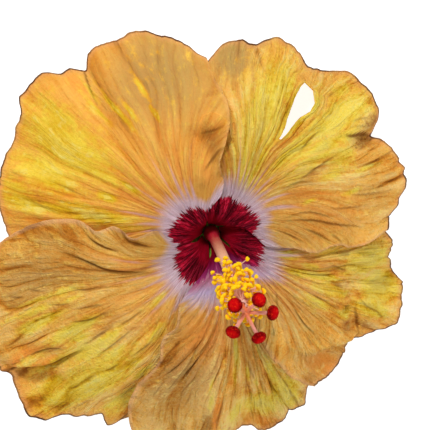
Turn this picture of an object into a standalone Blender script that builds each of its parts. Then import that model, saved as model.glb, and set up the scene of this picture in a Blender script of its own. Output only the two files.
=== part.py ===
"""Hibiscus bloom lying face up, resting on the low points of its petals.

Tables are in millimetres. Bearings are degrees about the flower's axis, with
0 along +X and 90 along +Y, and radii are measured from that axis.
"""

import math
import random

import bmesh
import bpy
import numpy as np
from mathutils import Matrix, Vector

MM = 0.001
FLOWER_AXIS = (3.7, 2.9, 0.0)

BLADE_THICKNESS = 0.65
BLADE_COLUMNS = 26
BLADE_ROWS = 19
ROW_CROWDING = 1.3
LAP = 1.1
EDGE_CURL = 1.8
REST_HEIGHT = 0.3
REST_SOFTNESS = 0.7

# The surface that all petals share, as radius and height from claw to rim.
PETAL_PROFILE = (
    (3.6, 6.0),
    (5.5, 12.0),
    (8.0, 18.0),
    (12.0, 23.0),
    (18.0, 27.0),
    (26.0, 29.5),
    (36.0, 29.0),
    (48.0, 25.5),
    (58.0, 20.5),
    (68.0, 13.5),
    (77.0, 6.5),
    (86.0, 0.0),
    (100.0, -9.0),
)

# The petals droop farthest at these bearings: bearing, spread, drop.
LOW_POINTS = (
    (46.0, 17.0, 5.0),
    (146.0, 15.0, 2.0),
    (225.0, 18.0, 3.0),
    (283.0, 14.0, 3.0),
    (338.0, 16.0, 6.0),
)

# Waves of the outer part: count round the flower, phase, height.
RIM_WAVES = (
    (11, 40.0, 1.1),
    (17, 160.0, 0.9),
    (29, 75.0, 0.5),
)

# Folds: points in x and y, half width, height (below zero for a valley).
FOLDS = (
    (((-7.0, 42.5), (4.0, 45.5)), 3.5, 2.2),
    (((-7.0, 38.5), (4.0, 36.5)), 3.0, -2.2),
    (((-5.0, 25.5), (3.5, 34.0)), 3.5, 2.0),
    (((-46.0, 61.0), (-41.0, 47.0)), 4.0, -2.0),
    (((15.5, 71.0), (17.5, 67.0), (18.5, 62.0)), 4.0, -2.0),
    (((62.0, 37.0), (48.0, 39.0), (43.0, 39.0)), 4.0, -3.5),
    (((38.0, 35.0), (26.0, 27.0)), 5.0, 1.5),
    (((36.0, -39.5), (43.5, -40.0), (52.0, -40.0)), 3.5, 2.2),
    (((28.0, -48.5), (50.0, -43.0)), 5.0, -2.0),
    (((53.0, -20.5), (54.5, -32.0), (57.0, -37.0)), 4.0, -3.0),
    (((2.5, -59.0), (-0.5, -74.0)), 4.5, 2.0),
    (((-81.0, -44.0), (-63.5, -52.0)), 5.0, 2.5),
    (((-77.0, -55.0), (-61.5, -56.5)), 4.5, -2.5),
    (((-56.5, -1.0), (-24.5, -9.5)), 4.5, -1.5),
    (((-46.0, 5.5), (-35.0, -1.0)), 4.0, -1.5),
)

CLAW_SPREAD = 30.0
CLAW_FLARE = 8.0

# Each petal from its free clockwise edge to the edge under its neighbour.
# edge: radius and bearing along the free edge. hidden: bearing of the edge
# below the neighbour. rim: bearing and radius.
PETALS = {
    "petal_top_left": {
        "claw": 152.0,
        "edge": (
            (18, 85),
            (22, 84),
            (30, 89),
            (34, 87),
            (42, 84.5),
            (50, 86.5),
            (58, 90),
            (64, 92.5),
        ),
        "hidden": 200.0,
        "rim": (
            (92.5, 64),
            (97, 69),
            (103, 73.5),
            (110, 79.5),
            (120, 81),
            (124, 80),
            (127, 77.5),
            (130, 82),
            (133, 82.5),
            (136, 87),
            (144, 87.5),
            (147, 83.5),
            (158, 84),
            (170, 80.5),
            (180, 77.5),
            (200, 66),
        ),
    },
    "petal_upper_right": {
        "claw": 80.0,
        "edge": (
            (18, -4),
            (28, -3),
            (36, -5.5),
            (44, -1),
            (48, -3),
            (56, 0),
            (63.5, 2),
        ),
        "hidden": 108.0,
        "rim": (
            (2, 63.5),
            (7, 66),
            (12, 73),
            (18, 77),
            (27, 75),
            (32, 73.5),
            (36, 77),
            (43, 82.5),
            (48, 84.5),
            (54, 79.5),
            (60, 74),
            (66, 76.5),
            (71, 77),
            (77, 73.5),
            (81, 74.5),
            (87, 71.5),
            (92.5, 65),
            (108, 57),
        ),
    },
    "petal_lower_right": {
        "claw": 368.0,
        "edge": (
            (18, 296),
            (30, 295),
            (40, 294.5),
            (48, 295.5),
            (58, 298.5),
            (64, 301),
            (68.5, 303.5),
        ),
        "hidden": 377.0,
        "rim": (
            (303.5, 68.5),
            (311, 70),
            (317, 70),
            (322, 67.5),
            (327, 73),
            (331, 81),
            (336, 83),
            (344, 84.5),
            (348, 75),
            (352, 68.5),
            (358, 68),
            (362, 64.5),
            (377, 56),
        ),
    },
    "petal_bottom": {
        "claw": -64.0,
        "edge": (
            (18, -120),
            (25, -123.5),
            (32, -117.5),
            (38, -120.5),
            (46, -116),
            (54, -118),
            (64, -117.5),
            (72, -114.5),
            (80.5, -108.5),
        ),
        "hidden": -42.0,
        "rim": (
            (-108.5, 80.5),
            (-104, 81.5),
            (-97, 80),
            (-88.5, 76),
            (-83, 81),
            (-75, 87),
            (-69.5, 83),
            (-66.5, 76),
            (-62, 76.5),
            (-57.5, 71),
            (-42, 57),
        ),
    },
    "petal_left": {
        "claw": -136.0,
        "edge": (
            (18, -189),
            (22, -194),
            (31, -186.5),
            (36, -192),
            (43, -187.5),
            (48, -190.5),
            (57, -189),
            (66, -185),
            (79, -177.5),
        ),
        "hidden": -95.0,
        "rim": (
            (-177.5, 79),
            (-172, 82),
            (-160, 87),
            (-151, 94),
            (-147, 97.5),
            (-144, 97.5),
            (-139, 100),
            (-134, 102),
            (-131, 99),
            (-128, 92),
            (-121, 83),
            (-118, 87),
            (-113, 78),
            (-95, 62),
        ),
    },
}

# The split near the tip of the upper right petal: radius, two bearings.
SPLIT = (
    (43.0, 58.7, 58.5),
    (48.0, 59.0, 56.8),
    (52.0, 59.7, 56.2),
    (56.0, 60.0, 55.0),
    (60.5, 60.2, 52.6),
    (65.0, 59.8, 52.4),
    (69.0, 58.6, 55.6),
)

# Green parts below the petals, as radius and height.
CALYX_THICKNESS = 0.8
CALYX_PATH = (
    (1.3, 4.0),
    (3.6, 4.1),
    (5.2, 5.2),
    (6.4, 8.0),
    (7.7, 12.0),
    (10.2, 15.8),
    (13.4, 18.9),
    (16.8, 21.2),
    (20.5, 22.8),
)
CALYX_TUBE_SHARE = 0.62
STEM_PROFILE = (
    (0.0, 0.0),
    (1.7, 0.0),
    (1.7, 1.4),
    (2.7, 2.4),
    (2.7, 3.2),
    (0.9, 3.3),
    (0.9, 4.8),
    (0.0, 4.8),
)
BRACT_COUNT = 7
BRACT_THICKNESS = 0.6
BRACT_PATH = (
    (1.9, 2.8),
    (5.7, 2.8),
    (8.7, 4.8),
    (10.8, 8.4),
    (12.2, 12.6),
)

# The column stands on the axis and leans over above this height.
LEAN_START = 15.0
LEAN_END = 74.0
LEAN = (4.7, -13.5)
TUBE_PROFILE = (
    (2.5, 5.0),
    (3.05, 5.0),
    (3.0, 8.0),
    (2.5, 11.0),
    (2.0, 15.0),
    (1.95, 28.0),
    (1.95, 42.0),
    (1.8, 56.0),
    (1.55, 66.0),
    (1.4, 69.7),
    (1.3, 70.0),
    (1.0, 70.0),
    (1.0, 56.0),
    (1.0, 42.0),
    (1.0, 28.0),
    (1.0, 15.0),
    (1.6, 11.5),
    (2.4, 9.0),
)
ANTHER_COUNT = 66
ANTHER_LENGTH = 1.7
FILAMENT_RADIUS = 0.24
FIRST_ANTHER = 42.0
LAST_ANTHER = 69.0

PISTIL_PROFILE = (
    (0.0, 5.3),
    (1.5, 5.3),
    (2.1, 6.4),
    (1.9, 8.2),
    (1.1, 10.2),
    (0.55, 12.0),
    (0.55, 28.0),
    (0.55, 42.0),
    (0.55, 56.0),
    (0.55, 66.0),
    (0.7, 72.0),
    (1.1, 74.0),
    (0.9, 75.3),
    (0.0, 75.6),
)
HUB_HEIGHT = 74.3
BRANCH_RADIUS = 0.75
PAD_SIZE = 4.7

# Stigma pads from the hub: x, y and rise.
PADS = (
    (-3.8, 3.2, 3.4),
    (3.9, 4.9, 3.9),
    (8.6, 0.1, 2.2),
    (-4.3, -5.9, 2.6),
    (4.1, -8.0, 2.4),
)


def smoothstep(low, high, value):
    """Rises smoothly from 0 at low to 1 at high."""
    t = np.clip((value - low) / (high - low), 0.0, 1.0)
    return t * t * (3.0 - 2.0 * t)


def smooth_curve(xs, ys, x):
    """A curve through the points with an even bend at each."""
    xs = np.asarray(xs, float)
    ys = np.asarray(ys, float)
    slopes = np.gradient(ys, xs)
    index = np.clip(np.searchsorted(xs, x) - 1, 0, len(xs) - 2)
    width = xs[index + 1] - xs[index]
    t = (x - xs[index]) / width
    start = (1 + 2 * t) * (1 - t) ** 2 * ys[index]
    end = t * t * (3 - 2 * t) * ys[index + 1]
    bend = t * (1 - t) ** 2 * slopes[index] - t * t * (1 - t) * slopes[index + 1]
    return start + end + bend * width


def path_lengths(path):
    """Distance along a path of radius and height at each of its points."""
    steps = [math.dist(a, b) for a, b in zip(path, path[1:])]
    return np.concatenate(([0.0], np.cumsum(steps)))


PROFILE_LENGTHS = path_lengths(PETAL_PROFILE)
PROFILE_RADII = np.array([p[0] for p in PETAL_PROFILE])
PROFILE_HEIGHTS = np.array([p[1] for p in PETAL_PROFILE])


def profile_point(length):
    """Radius, height and upward normal of the shared profile."""
    radius = smooth_curve(PROFILE_LENGTHS, PROFILE_RADII, length)
    height = smooth_curve(PROFILE_LENGTHS, PROFILE_HEIGHTS, length)
    ahead = smooth_curve(PROFILE_LENGTHS, PROFILE_RADII, length + 0.1)
    above = smooth_curve(PROFILE_LENGTHS, PROFILE_HEIGHTS, length + 0.1)
    run = ahead - radius
    rise = above - height
    size = np.hypot(run, rise)
    return radius, height, -rise / size, run / size


def reach(bearing):
    """The left petal's far corner stretches the shared surface there."""
    return 1.0 + 0.13 * np.maximum(0.0, np.cos(np.radians(bearing - 222.0))) ** 8


def fold_height(x, y, points, half_width, height):
    """Height of one fold at x and y."""
    nearest = np.full(np.shape(x), 1e9)
    for (x0, y0), (x1, y1) in zip(points, points[1:]):
        length = math.hypot(x1 - x0, y1 - y0)
        along_x = (x1 - x0) / length
        along_y = (y1 - y0) / length
        along = np.clip((x - x0) * along_x + (y - y0) * along_y, 0.0, length)
        gap = np.hypot(x - x0 - along * along_x, y - y0 - along * along_y)
        nearest = np.minimum(nearest, gap)
    return height * np.exp(-((nearest / half_width) ** 2))


def shared_height(radius, bearing):
    """How far the shared surface rises from its profile."""
    angle = np.radians(bearing)
    outer = smoothstep(34.0, 82.0, radius)
    height = np.zeros(np.shape(radius))
    for low_bearing, spread, drop in LOW_POINTS:
        gap = (bearing - low_bearing + 180.0) % 360.0 - 180.0
        height = height - drop * np.exp(-((gap / spread) ** 2)) * outer
    for count, phase, size in RIM_WAVES:
        wave = np.sin(count * angle + math.radians(phase))
        height = height + size * wave * outer
    x = radius * np.cos(angle)
    y = radius * np.sin(angle)
    for points, half_width, size in FOLDS:
        height = height + fold_height(x, y, points, half_width, size)
    return height


def petal_points(petal, side, along):
    """Points of a petal: side -1 is its free edge, 1 its hidden edge."""
    edge_radii = [p[0] for p in petal["edge"]]
    edge_bearings = [p[1] for p in petal["edge"]]
    rim_bearings = [p[0] for p in petal["rim"]]
    rim_radii = [p[1] for p in petal["rim"]]
    share = (side + 1.0) / 2.0
    tip_bearing = edge_bearings[-1] + share * (rim_bearings[-1] - edge_bearings[-1])
    tip_radius = np.interp(tip_bearing, rim_bearings, rim_radii)
    tip_length = np.interp(tip_radius / reach(tip_bearing), PROFILE_RADII, PROFILE_LENGTHS)
    radius, height, out, up = profile_point(along * tip_length)

    blade = np.clip((radius - 18.0) / (edge_radii[-1] - 18.0), 0.0, 1.0)
    straight = edge_bearings[0] + blade * (edge_bearings[-1] - edge_bearings[0])
    wiggle = np.interp(radius, edge_radii, edge_bearings) - straight
    bearing = straight + share * (petal["hidden"] - straight)
    near_edge = np.exp(-(side + 1.0) / 0.10)
    bearing = bearing + wiggle * near_edge
    claw_half = CLAW_SPREAD + CLAW_FLARE * smoothstep(5.0, 9.0, radius)
    claw_bearing = petal["claw"] + side * claw_half
    bearing = claw_bearing + (bearing - claw_bearing) * smoothstep(7.5, 19.0, radius)

    radius = radius * (1.0 + (reach(bearing) - 1.0) * smoothstep(30.0, 70.0, radius))
    lift = shared_height(radius, bearing)
    lift = lift - LAP * np.tanh(2.2 * side) * smoothstep(4.2, 8.5, radius)
    curl = 0.5 + 0.5 * np.sin(radius * 0.5 + petal["claw"])
    lift = lift + EDGE_CURL * curl * near_edge * smoothstep(20.0, 40.0, radius)
    middle = 1.0 - smoothstep(0.35, 0.62, np.abs(side))
    rim_share = smoothstep(0.72, 1.0, along)
    lift = lift + 1.6 * np.sin(side * 11.0 + petal["claw"]) * middle * rim_share

    radius = radius + lift * out
    height = height + lift * up
    above = (height - REST_HEIGHT) / REST_SOFTNESS
    height = REST_HEIGHT + REST_SOFTNESS * np.logaddexp(0.0, above)
    angle = np.radians(bearing)
    return np.stack((radius * np.cos(angle), radius * np.sin(angle), height), axis=-1)


def lean_offset(height):
    """How far the column leans from the axis at a height."""
    share = max(0.0, (height - LEAN_START) / (LEAN_END - LEAN_START))
    return Vector((LEAN[0] * share, LEAN[1] * share**1.25, 0.0)) * MM


def material(name, colour, roughness):
    made = bpy.data.materials.new(name)
    made.use_nodes = True
    shader = made.node_tree.nodes["Principled BSDF"]
    shader.inputs["Base Color"].default_value = (*colour, 1.0)
    shader.inputs["Roughness"].default_value = roughness
    shader.inputs["Metallic"].default_value = 0.0
    return made


def new_object(name, mesh, collection, parent=None):
    made = bpy.data.objects.new(name, mesh)
    collection.objects.link(made)
    made.parent = parent
    return made


def finish_node(made, look):
    made.data.materials.clear()
    made.data.materials.append(look)
    made.data.shade_smooth()
    made.data.set_sharp_from_angle(angle=math.radians(50))


def mesh_from_bmesh(name, shape):
    mesh = bpy.data.meshes.new(name)
    shape.to_mesh(mesh)
    shape.free()
    return mesh


def evaluated_mesh(source):
    """The object's mesh with its modifiers in it; the object is removed."""
    graph = bpy.context.evaluated_depsgraph_get()
    graph.update()
    mesh = bpy.data.meshes.new_from_object(source.evaluated_get(graph), depsgraph=graph)
    bpy.data.objects.remove(source)
    return mesh


def turned_mesh(name, profile, steps, collection, closed=False):
    """A profile of radius and height turned round the flower's axis."""
    shape = bmesh.new()
    rows = [shape.verts.new((r * MM, 0.0, z * MM)) for r, z in profile]
    pairs = list(zip(rows, rows[1:]))
    if closed:
        pairs.append((rows[-1], rows[0]))
    for first, second in pairs:
        shape.edges.new((first, second))
    source = new_object(name, mesh_from_bmesh(name, shape), collection)
    screw = source.modifiers.new("turn", "SCREW")
    screw.steps = steps
    screw.render_steps = steps
    screw.use_merge_vertices = True
    screw.merge_threshold = 0.00001
    screw.use_normal_calculate = True
    bpy.context.view_layer.update()
    mesh = evaluated_mesh(source)
    shape = bmesh.new()
    shape.from_mesh(mesh)
    bmesh.ops.remove_doubles(shape, verts=shape.verts, dist=0.000005)
    bmesh.ops.recalc_face_normals(shape, faces=shape.faces)
    shape.to_mesh(mesh)
    shape.free()
    return mesh


def union(made, others, solver, collection):
    """Joins others into made by one Boolean on their collection."""
    joined = bpy.data.collections.new("joined")
    collection.children.link(joined)
    for other in others:
        collection.objects.unlink(other)
        joined.objects.link(other)
    boolean = made.modifiers.new("join", "BOOLEAN")
    boolean.operation = "UNION"
    boolean.operand_type = "COLLECTION"
    boolean.collection = joined
    boolean.solver = solver
    graph = bpy.context.evaluated_depsgraph_get()
    graph.update()
    mesh = bpy.data.meshes.new_from_object(made.evaluated_get(graph), depsgraph=graph)
    made.modifiers.clear()
    made.data = mesh
    for other in others:
        bpy.data.objects.remove(other)
    bpy.data.collections.remove(joined)


def tapered_rod(name, start, end, start_radius, end_radius, sides, collection):
    """A straight rod from start to end."""
    shape = bmesh.new()
    direction = end - start
    turn = direction.to_track_quat("Z", "Y").to_matrix().to_4x4()
    place = Matrix.Translation((start + end) / 2) @ turn
    bmesh.ops.create_cone(
        shape,
        cap_ends=True,
        segments=sides,
        radius1=start_radius,
        radius2=end_radius,
        depth=direction.length,
        matrix=place,
    )
    return new_object(name, mesh_from_bmesh(name, shape), collection)


def make_petal(name, petal, look, collection, parent):
    shape = bmesh.new()
    bmesh.ops.create_grid(shape, x_segments=BLADE_COLUMNS, y_segments=BLADE_ROWS, size=1.0)
    side = np.array([v.co.x for v in shape.verts])
    along = np.array([((v.co.y + 1.0) / 2.0) ** ROW_CROWDING for v in shape.verts])
    for vert, point in zip(shape.verts, petal_points(petal, side, along)):
        vert.co = Vector(point) * MM
    bmesh.ops.triangulate(shape, faces=shape.faces)
    bmesh.ops.recalc_face_normals(shape, faces=shape.faces)
    made = new_object(name, mesh_from_bmesh(name, shape), collection, parent)
    thicken = made.modifiers.new("thickness", "SOLIDIFY")
    thicken.thickness = BLADE_THICKNESS * MM
    thicken.offset = 0.0
    finish_node(made, look)
    return made


def make_split_cutter(collection, parent):
    """A tall lens-shaped prism where the upper right petal is torn."""
    outline = [(r, left) for r, left, _ in SPLIT]
    outline += [(r, right) for r, _, right in reversed(SPLIT)]
    curve = bpy.data.curves.new("split", "CURVE")
    curve.dimensions = "2D"
    curve.fill_mode = "BOTH"
    curve.extrude = 20 * MM
    spline = curve.splines.new("POLY")
    spline.points.add(len(outline) - 1)
    for point, (radius, bearing) in zip(spline.points, outline):
        angle = math.radians(bearing)
        x = radius * math.cos(angle) * MM
        y = radius * math.sin(angle) * MM
        point.co = (x, y, 0.0, 1.0)
    spline.use_cyclic_u = True
    source = new_object("split_outline", curve, collection)
    bpy.context.view_layer.update()
    mesh = evaluated_mesh(source)
    shape = bmesh.new()
    shape.from_mesh(mesh)
    bmesh.ops.remove_doubles(shape, verts=shape.verts, dist=0.000005)
    bmesh.ops.recalc_face_normals(shape, faces=shape.faces)
    shape.to_mesh(mesh)
    shape.free()
    cutter = new_object("split_cutter", mesh, collection, parent)
    cutter.location = (0.0, 0.0, 20 * MM)
    cutter.hide_render = True
    cutter.display_type = "WIRE"
    return cutter


def make_calyx(look, collection, parent):
    """A green cup whose five lobes stand behind the gaps between petals."""
    rows = 8
    lengths = path_lengths(CALYX_PATH)
    radii = [p[0] for p in CALYX_PATH]
    heights = [p[1] for p in CALYX_PATH]
    even = [(1.0 + row, 0.1 * row) for row in range(rows)]
    mesh = turned_mesh("calyx", even, 30, collection)
    for vert in mesh.vertices:
        row = round(math.hypot(vert.co.x, vert.co.y) / MM - 1.0)
        angle = math.atan2(vert.co.y, vert.co.x)
        lobe = 0.5 + 0.5 * math.cos(5.0 * (angle - math.radians(116.0)))
        share = CALYX_TUBE_SHARE + (1.0 - CALYX_TUBE_SHARE) * lobe**0.8
        length = lengths[-1] * share * row / (rows - 1)
        radius = float(smooth_curve(lengths, radii, length)) * MM
        height = float(smooth_curve(lengths, heights, length)) * MM
        vert.co = (radius * math.cos(angle), radius * math.sin(angle), height)
    made = new_object("calyx", mesh, collection, parent)
    thicken = made.modifiers.new("thickness", "SOLIDIFY")
    thicken.thickness = CALYX_THICKNESS * MM
    thicken.offset = 0.0
    finish_node(made, look)


def make_stem(look, collection, parent):
    """The cut stalk, its receptacle and the ring of narrow bracts."""
    mesh = turned_mesh("stem", STEM_PROFILE, 16, collection)
    made = new_object("stem", mesh, collection)
    bracts = []
    for number in range(BRACT_COUNT):
        angle = math.tau * (number + 0.3) / BRACT_COUNT
        shape = bmesh.new()
        bmesh.ops.create_grid(shape, x_segments=2, y_segments=5, size=1.0)
        for vert in shape.verts:
            share = (vert.co.y + 1.0) / 2.0
            place = share * (len(BRACT_PATH) - 1)
            steps = range(len(BRACT_PATH))
            radius = np.interp(place, steps, [p[0] for p in BRACT_PATH])
            height = np.interp(place, steps, [p[1] for p in BRACT_PATH])
            width = 0.6 * (1.0 - share) + 0.2 + 0.7 * math.sin(math.pi * share**0.8)
            vert.co = Vector((radius, vert.co.x * width, height)) * MM
        bmesh.ops.rotate(shape, verts=shape.verts, matrix=Matrix.Rotation(angle, 3, "Z"))
        bract = new_object("bract", mesh_from_bmesh("bract", shape), collection)
        thicken = bract.modifiers.new("thickness", "SOLIDIFY")
        thicken.thickness = BRACT_THICKNESS * MM
        thicken.offset = 0.0
        bracts.append(bract)
    union(made, bracts, "MANIFOLD", collection)
    made.parent = parent
    finish_node(made, look)


def lean(mesh):
    for vert in mesh.vertices:
        vert.co = vert.co + lean_offset(vert.co.z / MM)


def make_column(look, collection, parent):
    """The tube round the style, with a filament and an anther at each place."""
    mesh = turned_mesh("staminal_column", TUBE_PROFILE, 14, collection, closed=True)
    lean(mesh)
    made = new_object("staminal_column", mesh, collection)
    rng = random.Random(7)
    grown = []
    for number in range(ANTHER_COUNT):
        share = ((number + 0.5) / ANTHER_COUNT) ** 0.62
        height = FIRST_ANTHER + (LAST_ANTHER - FIRST_ANTHER) * share
        angle = math.radians(137.5 * number + rng.uniform(-12, 12))
        out = Vector((math.cos(angle), math.sin(angle), 0.0))
        root = lean_offset(height) + (out * 1.35 + Vector((0, 0, height))) * MM
        length = rng.uniform(4.8, 7.8) * (1.0 - 0.12 * share)
        rise = rng.uniform(0.8, 3.2)
        end = root + (out * length + Vector((0, 0, rise))) * MM
        radius = FILAMENT_RADIUS * MM
        grown.append(tapered_rod("filament", root, end, radius * 1.3, radius, 4, collection))
        shape = bmesh.new()
        size = ANTHER_LENGTH * rng.uniform(0.9, 1.1)
        turn = Matrix.Rotation(rng.uniform(0, math.tau), 4, out)
        stretch = Matrix.Diagonal((0.8, 0.8, 1.0, 1.0))
        place = Matrix.Translation(end) @ turn @ stretch
        bmesh.ops.create_icosphere(shape, subdivisions=1, radius=size / 2 * MM, matrix=place)
        grown.append(new_object("anther", mesh_from_bmesh("anther", shape), collection))
    union(made, grown, "MANIFOLD", collection)
    made.parent = parent
    finish_node(made, look)


def make_pistil(look, collection, parent):
    """Ovary, style, five branches and their stigma pads."""
    mesh = turned_mesh("pistil", PISTIL_PROFILE, 10, collection)
    lean(mesh)
    made = new_object("pistil", mesh, collection)
    hub = lean_offset(HUB_HEIGHT) + Vector((0, 0, HUB_HEIGHT)) * MM
    grown = []
    for x, y, rise in PADS:
        end = hub + Vector((x, y, rise)) * MM
        bend = hub + Vector((x * 0.45, y * 0.45, rise * 0.75)) * MM
        radius = BRANCH_RADIUS * MM
        path = bpy.data.curves.new("branch", "CURVE")
        path.dimensions = "3D"
        path.bevel_depth = radius
        path.bevel_resolution = 1
        path.use_fill_caps = True
        spline = path.splines.new("POLY")
        spline.points.add(2)
        for point, place in zip(spline.points, (hub, bend, end)):
            point.co = (*place, 1.0)
        source = new_object("branch", path, collection)
        bpy.context.view_layer.update()
        rod = evaluated_mesh(source)
        shape = bmesh.new()
        shape.from_mesh(rod)
        bmesh.ops.remove_doubles(shape, verts=shape.verts, dist=0.000005)
        bmesh.ops.recalc_face_normals(shape, faces=shape.faces)
        shape.to_mesh(rod)
        shape.free()
        grown.append(new_object("branch", rod, collection))
        outward = Vector((x, y, rise + 5.0)).normalized()
        turn = outward.to_track_quat("Z", "Y").to_matrix().to_4x4()
        stretch = Matrix.Diagonal((1.0, 1.0, 0.68, 1.0))
        shape = bmesh.new()
        bmesh.ops.create_uvsphere(
            shape,
            u_segments=10,
            v_segments=7,
            radius=PAD_SIZE / 2 * MM,
            matrix=Matrix.Translation(end) @ turn @ stretch,
        )
        grown.append(new_object("pad", mesh_from_bmesh("pad", shape), collection))
    union(made, grown, "MANIFOLD", collection)
    made.parent = parent
    finish_node(made, look)


def main():
    for old in list(bpy.data.objects):
        bpy.data.objects.remove(old, do_unlink=True)
    flower = bpy.data.collections.new("hibiscus_flower")
    cutters = bpy.data.collections.new("cutters")
    bpy.context.scene.collection.children.link(flower)
    bpy.context.scene.collection.children.link(cutters)
    axis = new_object("flower_axis", None, flower)
    axis.location = Vector(FLOWER_AXIS) * MM

    orange = material("petal_orange", (0.68, 0.34, 0.08), 0.55)
    green = material("calyx_green", (0.16, 0.30, 0.07), 0.5)
    stalk = material("stalk_green", (0.12, 0.24, 0.06), 0.55)
    pink = material("column_pink", (0.80, 0.42, 0.26), 0.5)
    red = material("stigma_red", (0.60, 0.02, 0.03), 0.7)

    blades = {}
    for name, petal in PETALS.items():
        blades[name] = make_petal(name, petal, orange, flower, axis)
    cutter = make_split_cutter(cutters, axis)
    split = blades["petal_upper_right"].modifiers.new("split", "BOOLEAN")
    split.operation = "DIFFERENCE"
    split.solver = "EXACT"
    split.object = cutter

    make_calyx(green, flower, axis)
    make_stem(stalk, flower, axis)
    make_column(pink, flower, axis)
    make_pistil(red, flower, axis)


main()
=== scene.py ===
"""Hibiscus flower: fine petals, column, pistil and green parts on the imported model.

Tables are in millimetres. Bearings are degrees about the flower's axis, with
0 along +X and 90 along +Y, and radii are measured from that axis.
"""

import math
import random

import bmesh
import bpy
import numpy as np
from mathutils import Matrix, Vector


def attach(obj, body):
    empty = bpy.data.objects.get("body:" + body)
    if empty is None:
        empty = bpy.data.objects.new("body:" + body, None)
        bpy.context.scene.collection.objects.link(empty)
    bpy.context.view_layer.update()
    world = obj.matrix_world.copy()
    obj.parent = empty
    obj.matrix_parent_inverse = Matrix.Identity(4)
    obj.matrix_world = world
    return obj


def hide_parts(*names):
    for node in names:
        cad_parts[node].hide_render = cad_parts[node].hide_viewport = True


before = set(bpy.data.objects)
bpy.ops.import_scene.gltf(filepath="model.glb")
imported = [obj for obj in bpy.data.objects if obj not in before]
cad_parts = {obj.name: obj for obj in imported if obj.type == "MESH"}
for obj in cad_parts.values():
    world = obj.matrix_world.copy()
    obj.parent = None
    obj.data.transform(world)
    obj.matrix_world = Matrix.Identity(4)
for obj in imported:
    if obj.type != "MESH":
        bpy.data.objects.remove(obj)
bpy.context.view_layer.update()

MM = 0.001
FLOWER_AXIS = (3.7, 2.9, 0)

BLADE_THICKNESS = 0.45
COLUMNS = 232
ROWS = 150
ROW_CROWDING = 1.15
LAP = 1.1
EDGE_CURL = 1.8
REST_HEIGHT = 0.3
REST_SOFTNESS = 0.7
CLAW_SPREAD = 30
CLAW_FLARE = 8
BLADE_START = 18

# The surface that all petals share, as radius and height from claw to rim.
PETAL_PROFILE = (
    (3.6, 6), (5.5, 12), (8, 18), (12, 23), (18, 27), (26, 29.5), (36, 29), (48, 25.5), (58, 20.5),
    (68, 13.5), (77, 6.5), (86, 0), (100, -9),
)

# The petals droop farthest at these bearings: bearing, spread, drop.
LOW_POINTS = (
    (46, 17, 5), (146, 15, 2), (225, 18, 3), (283, 14, 3), (338, 16, 6),
)

# Waves of the outer part: count round the flower, phase, height.
RIM_WAVES = (
    (11, 40, 1.1), (17, 160, 0.9), (29, 75, 0.5),
)

# Folds: half width, height (below zero for a valley), points in x and y.
FOLDS = (
    (3.5, 2.2, (-7, 42.5), (4, 45.5)), (3, -2.2, (-7, 38.5), (4, 36.5)),
    (3.5, 2, (-5, 25.5), (3.5, 34)), (4, -2, (-46, 61), (-41, 47)),
    (4, -2, (15.5, 71), (17.5, 67), (18.5, 62)), (4, -3.5, (62, 37), (48, 39), (43, 39)),
    (5, 1.5, (38, 35), (26, 27)), (3.5, 2.2, (36, -39.5), (43.5, -40), (52, -40)),
    (5, -2, (28, -48.5), (50, -43)), (4, -3, (53, -20.5), (54.5, -32), (57, -37)),
    (4.5, 2, (2.5, -59), (-0.5, -74)), (5, 2.5, (-81, -44), (-63.5, -52)),
    (4.5, -2.5, (-77, -55), (-61.5, -56.5)), (4.5, -1.5, (-56.5, -1), (-24.5, -9.5)),
    (4, -1.5, (-46, 5.5), (-35, -1)),
)

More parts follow.
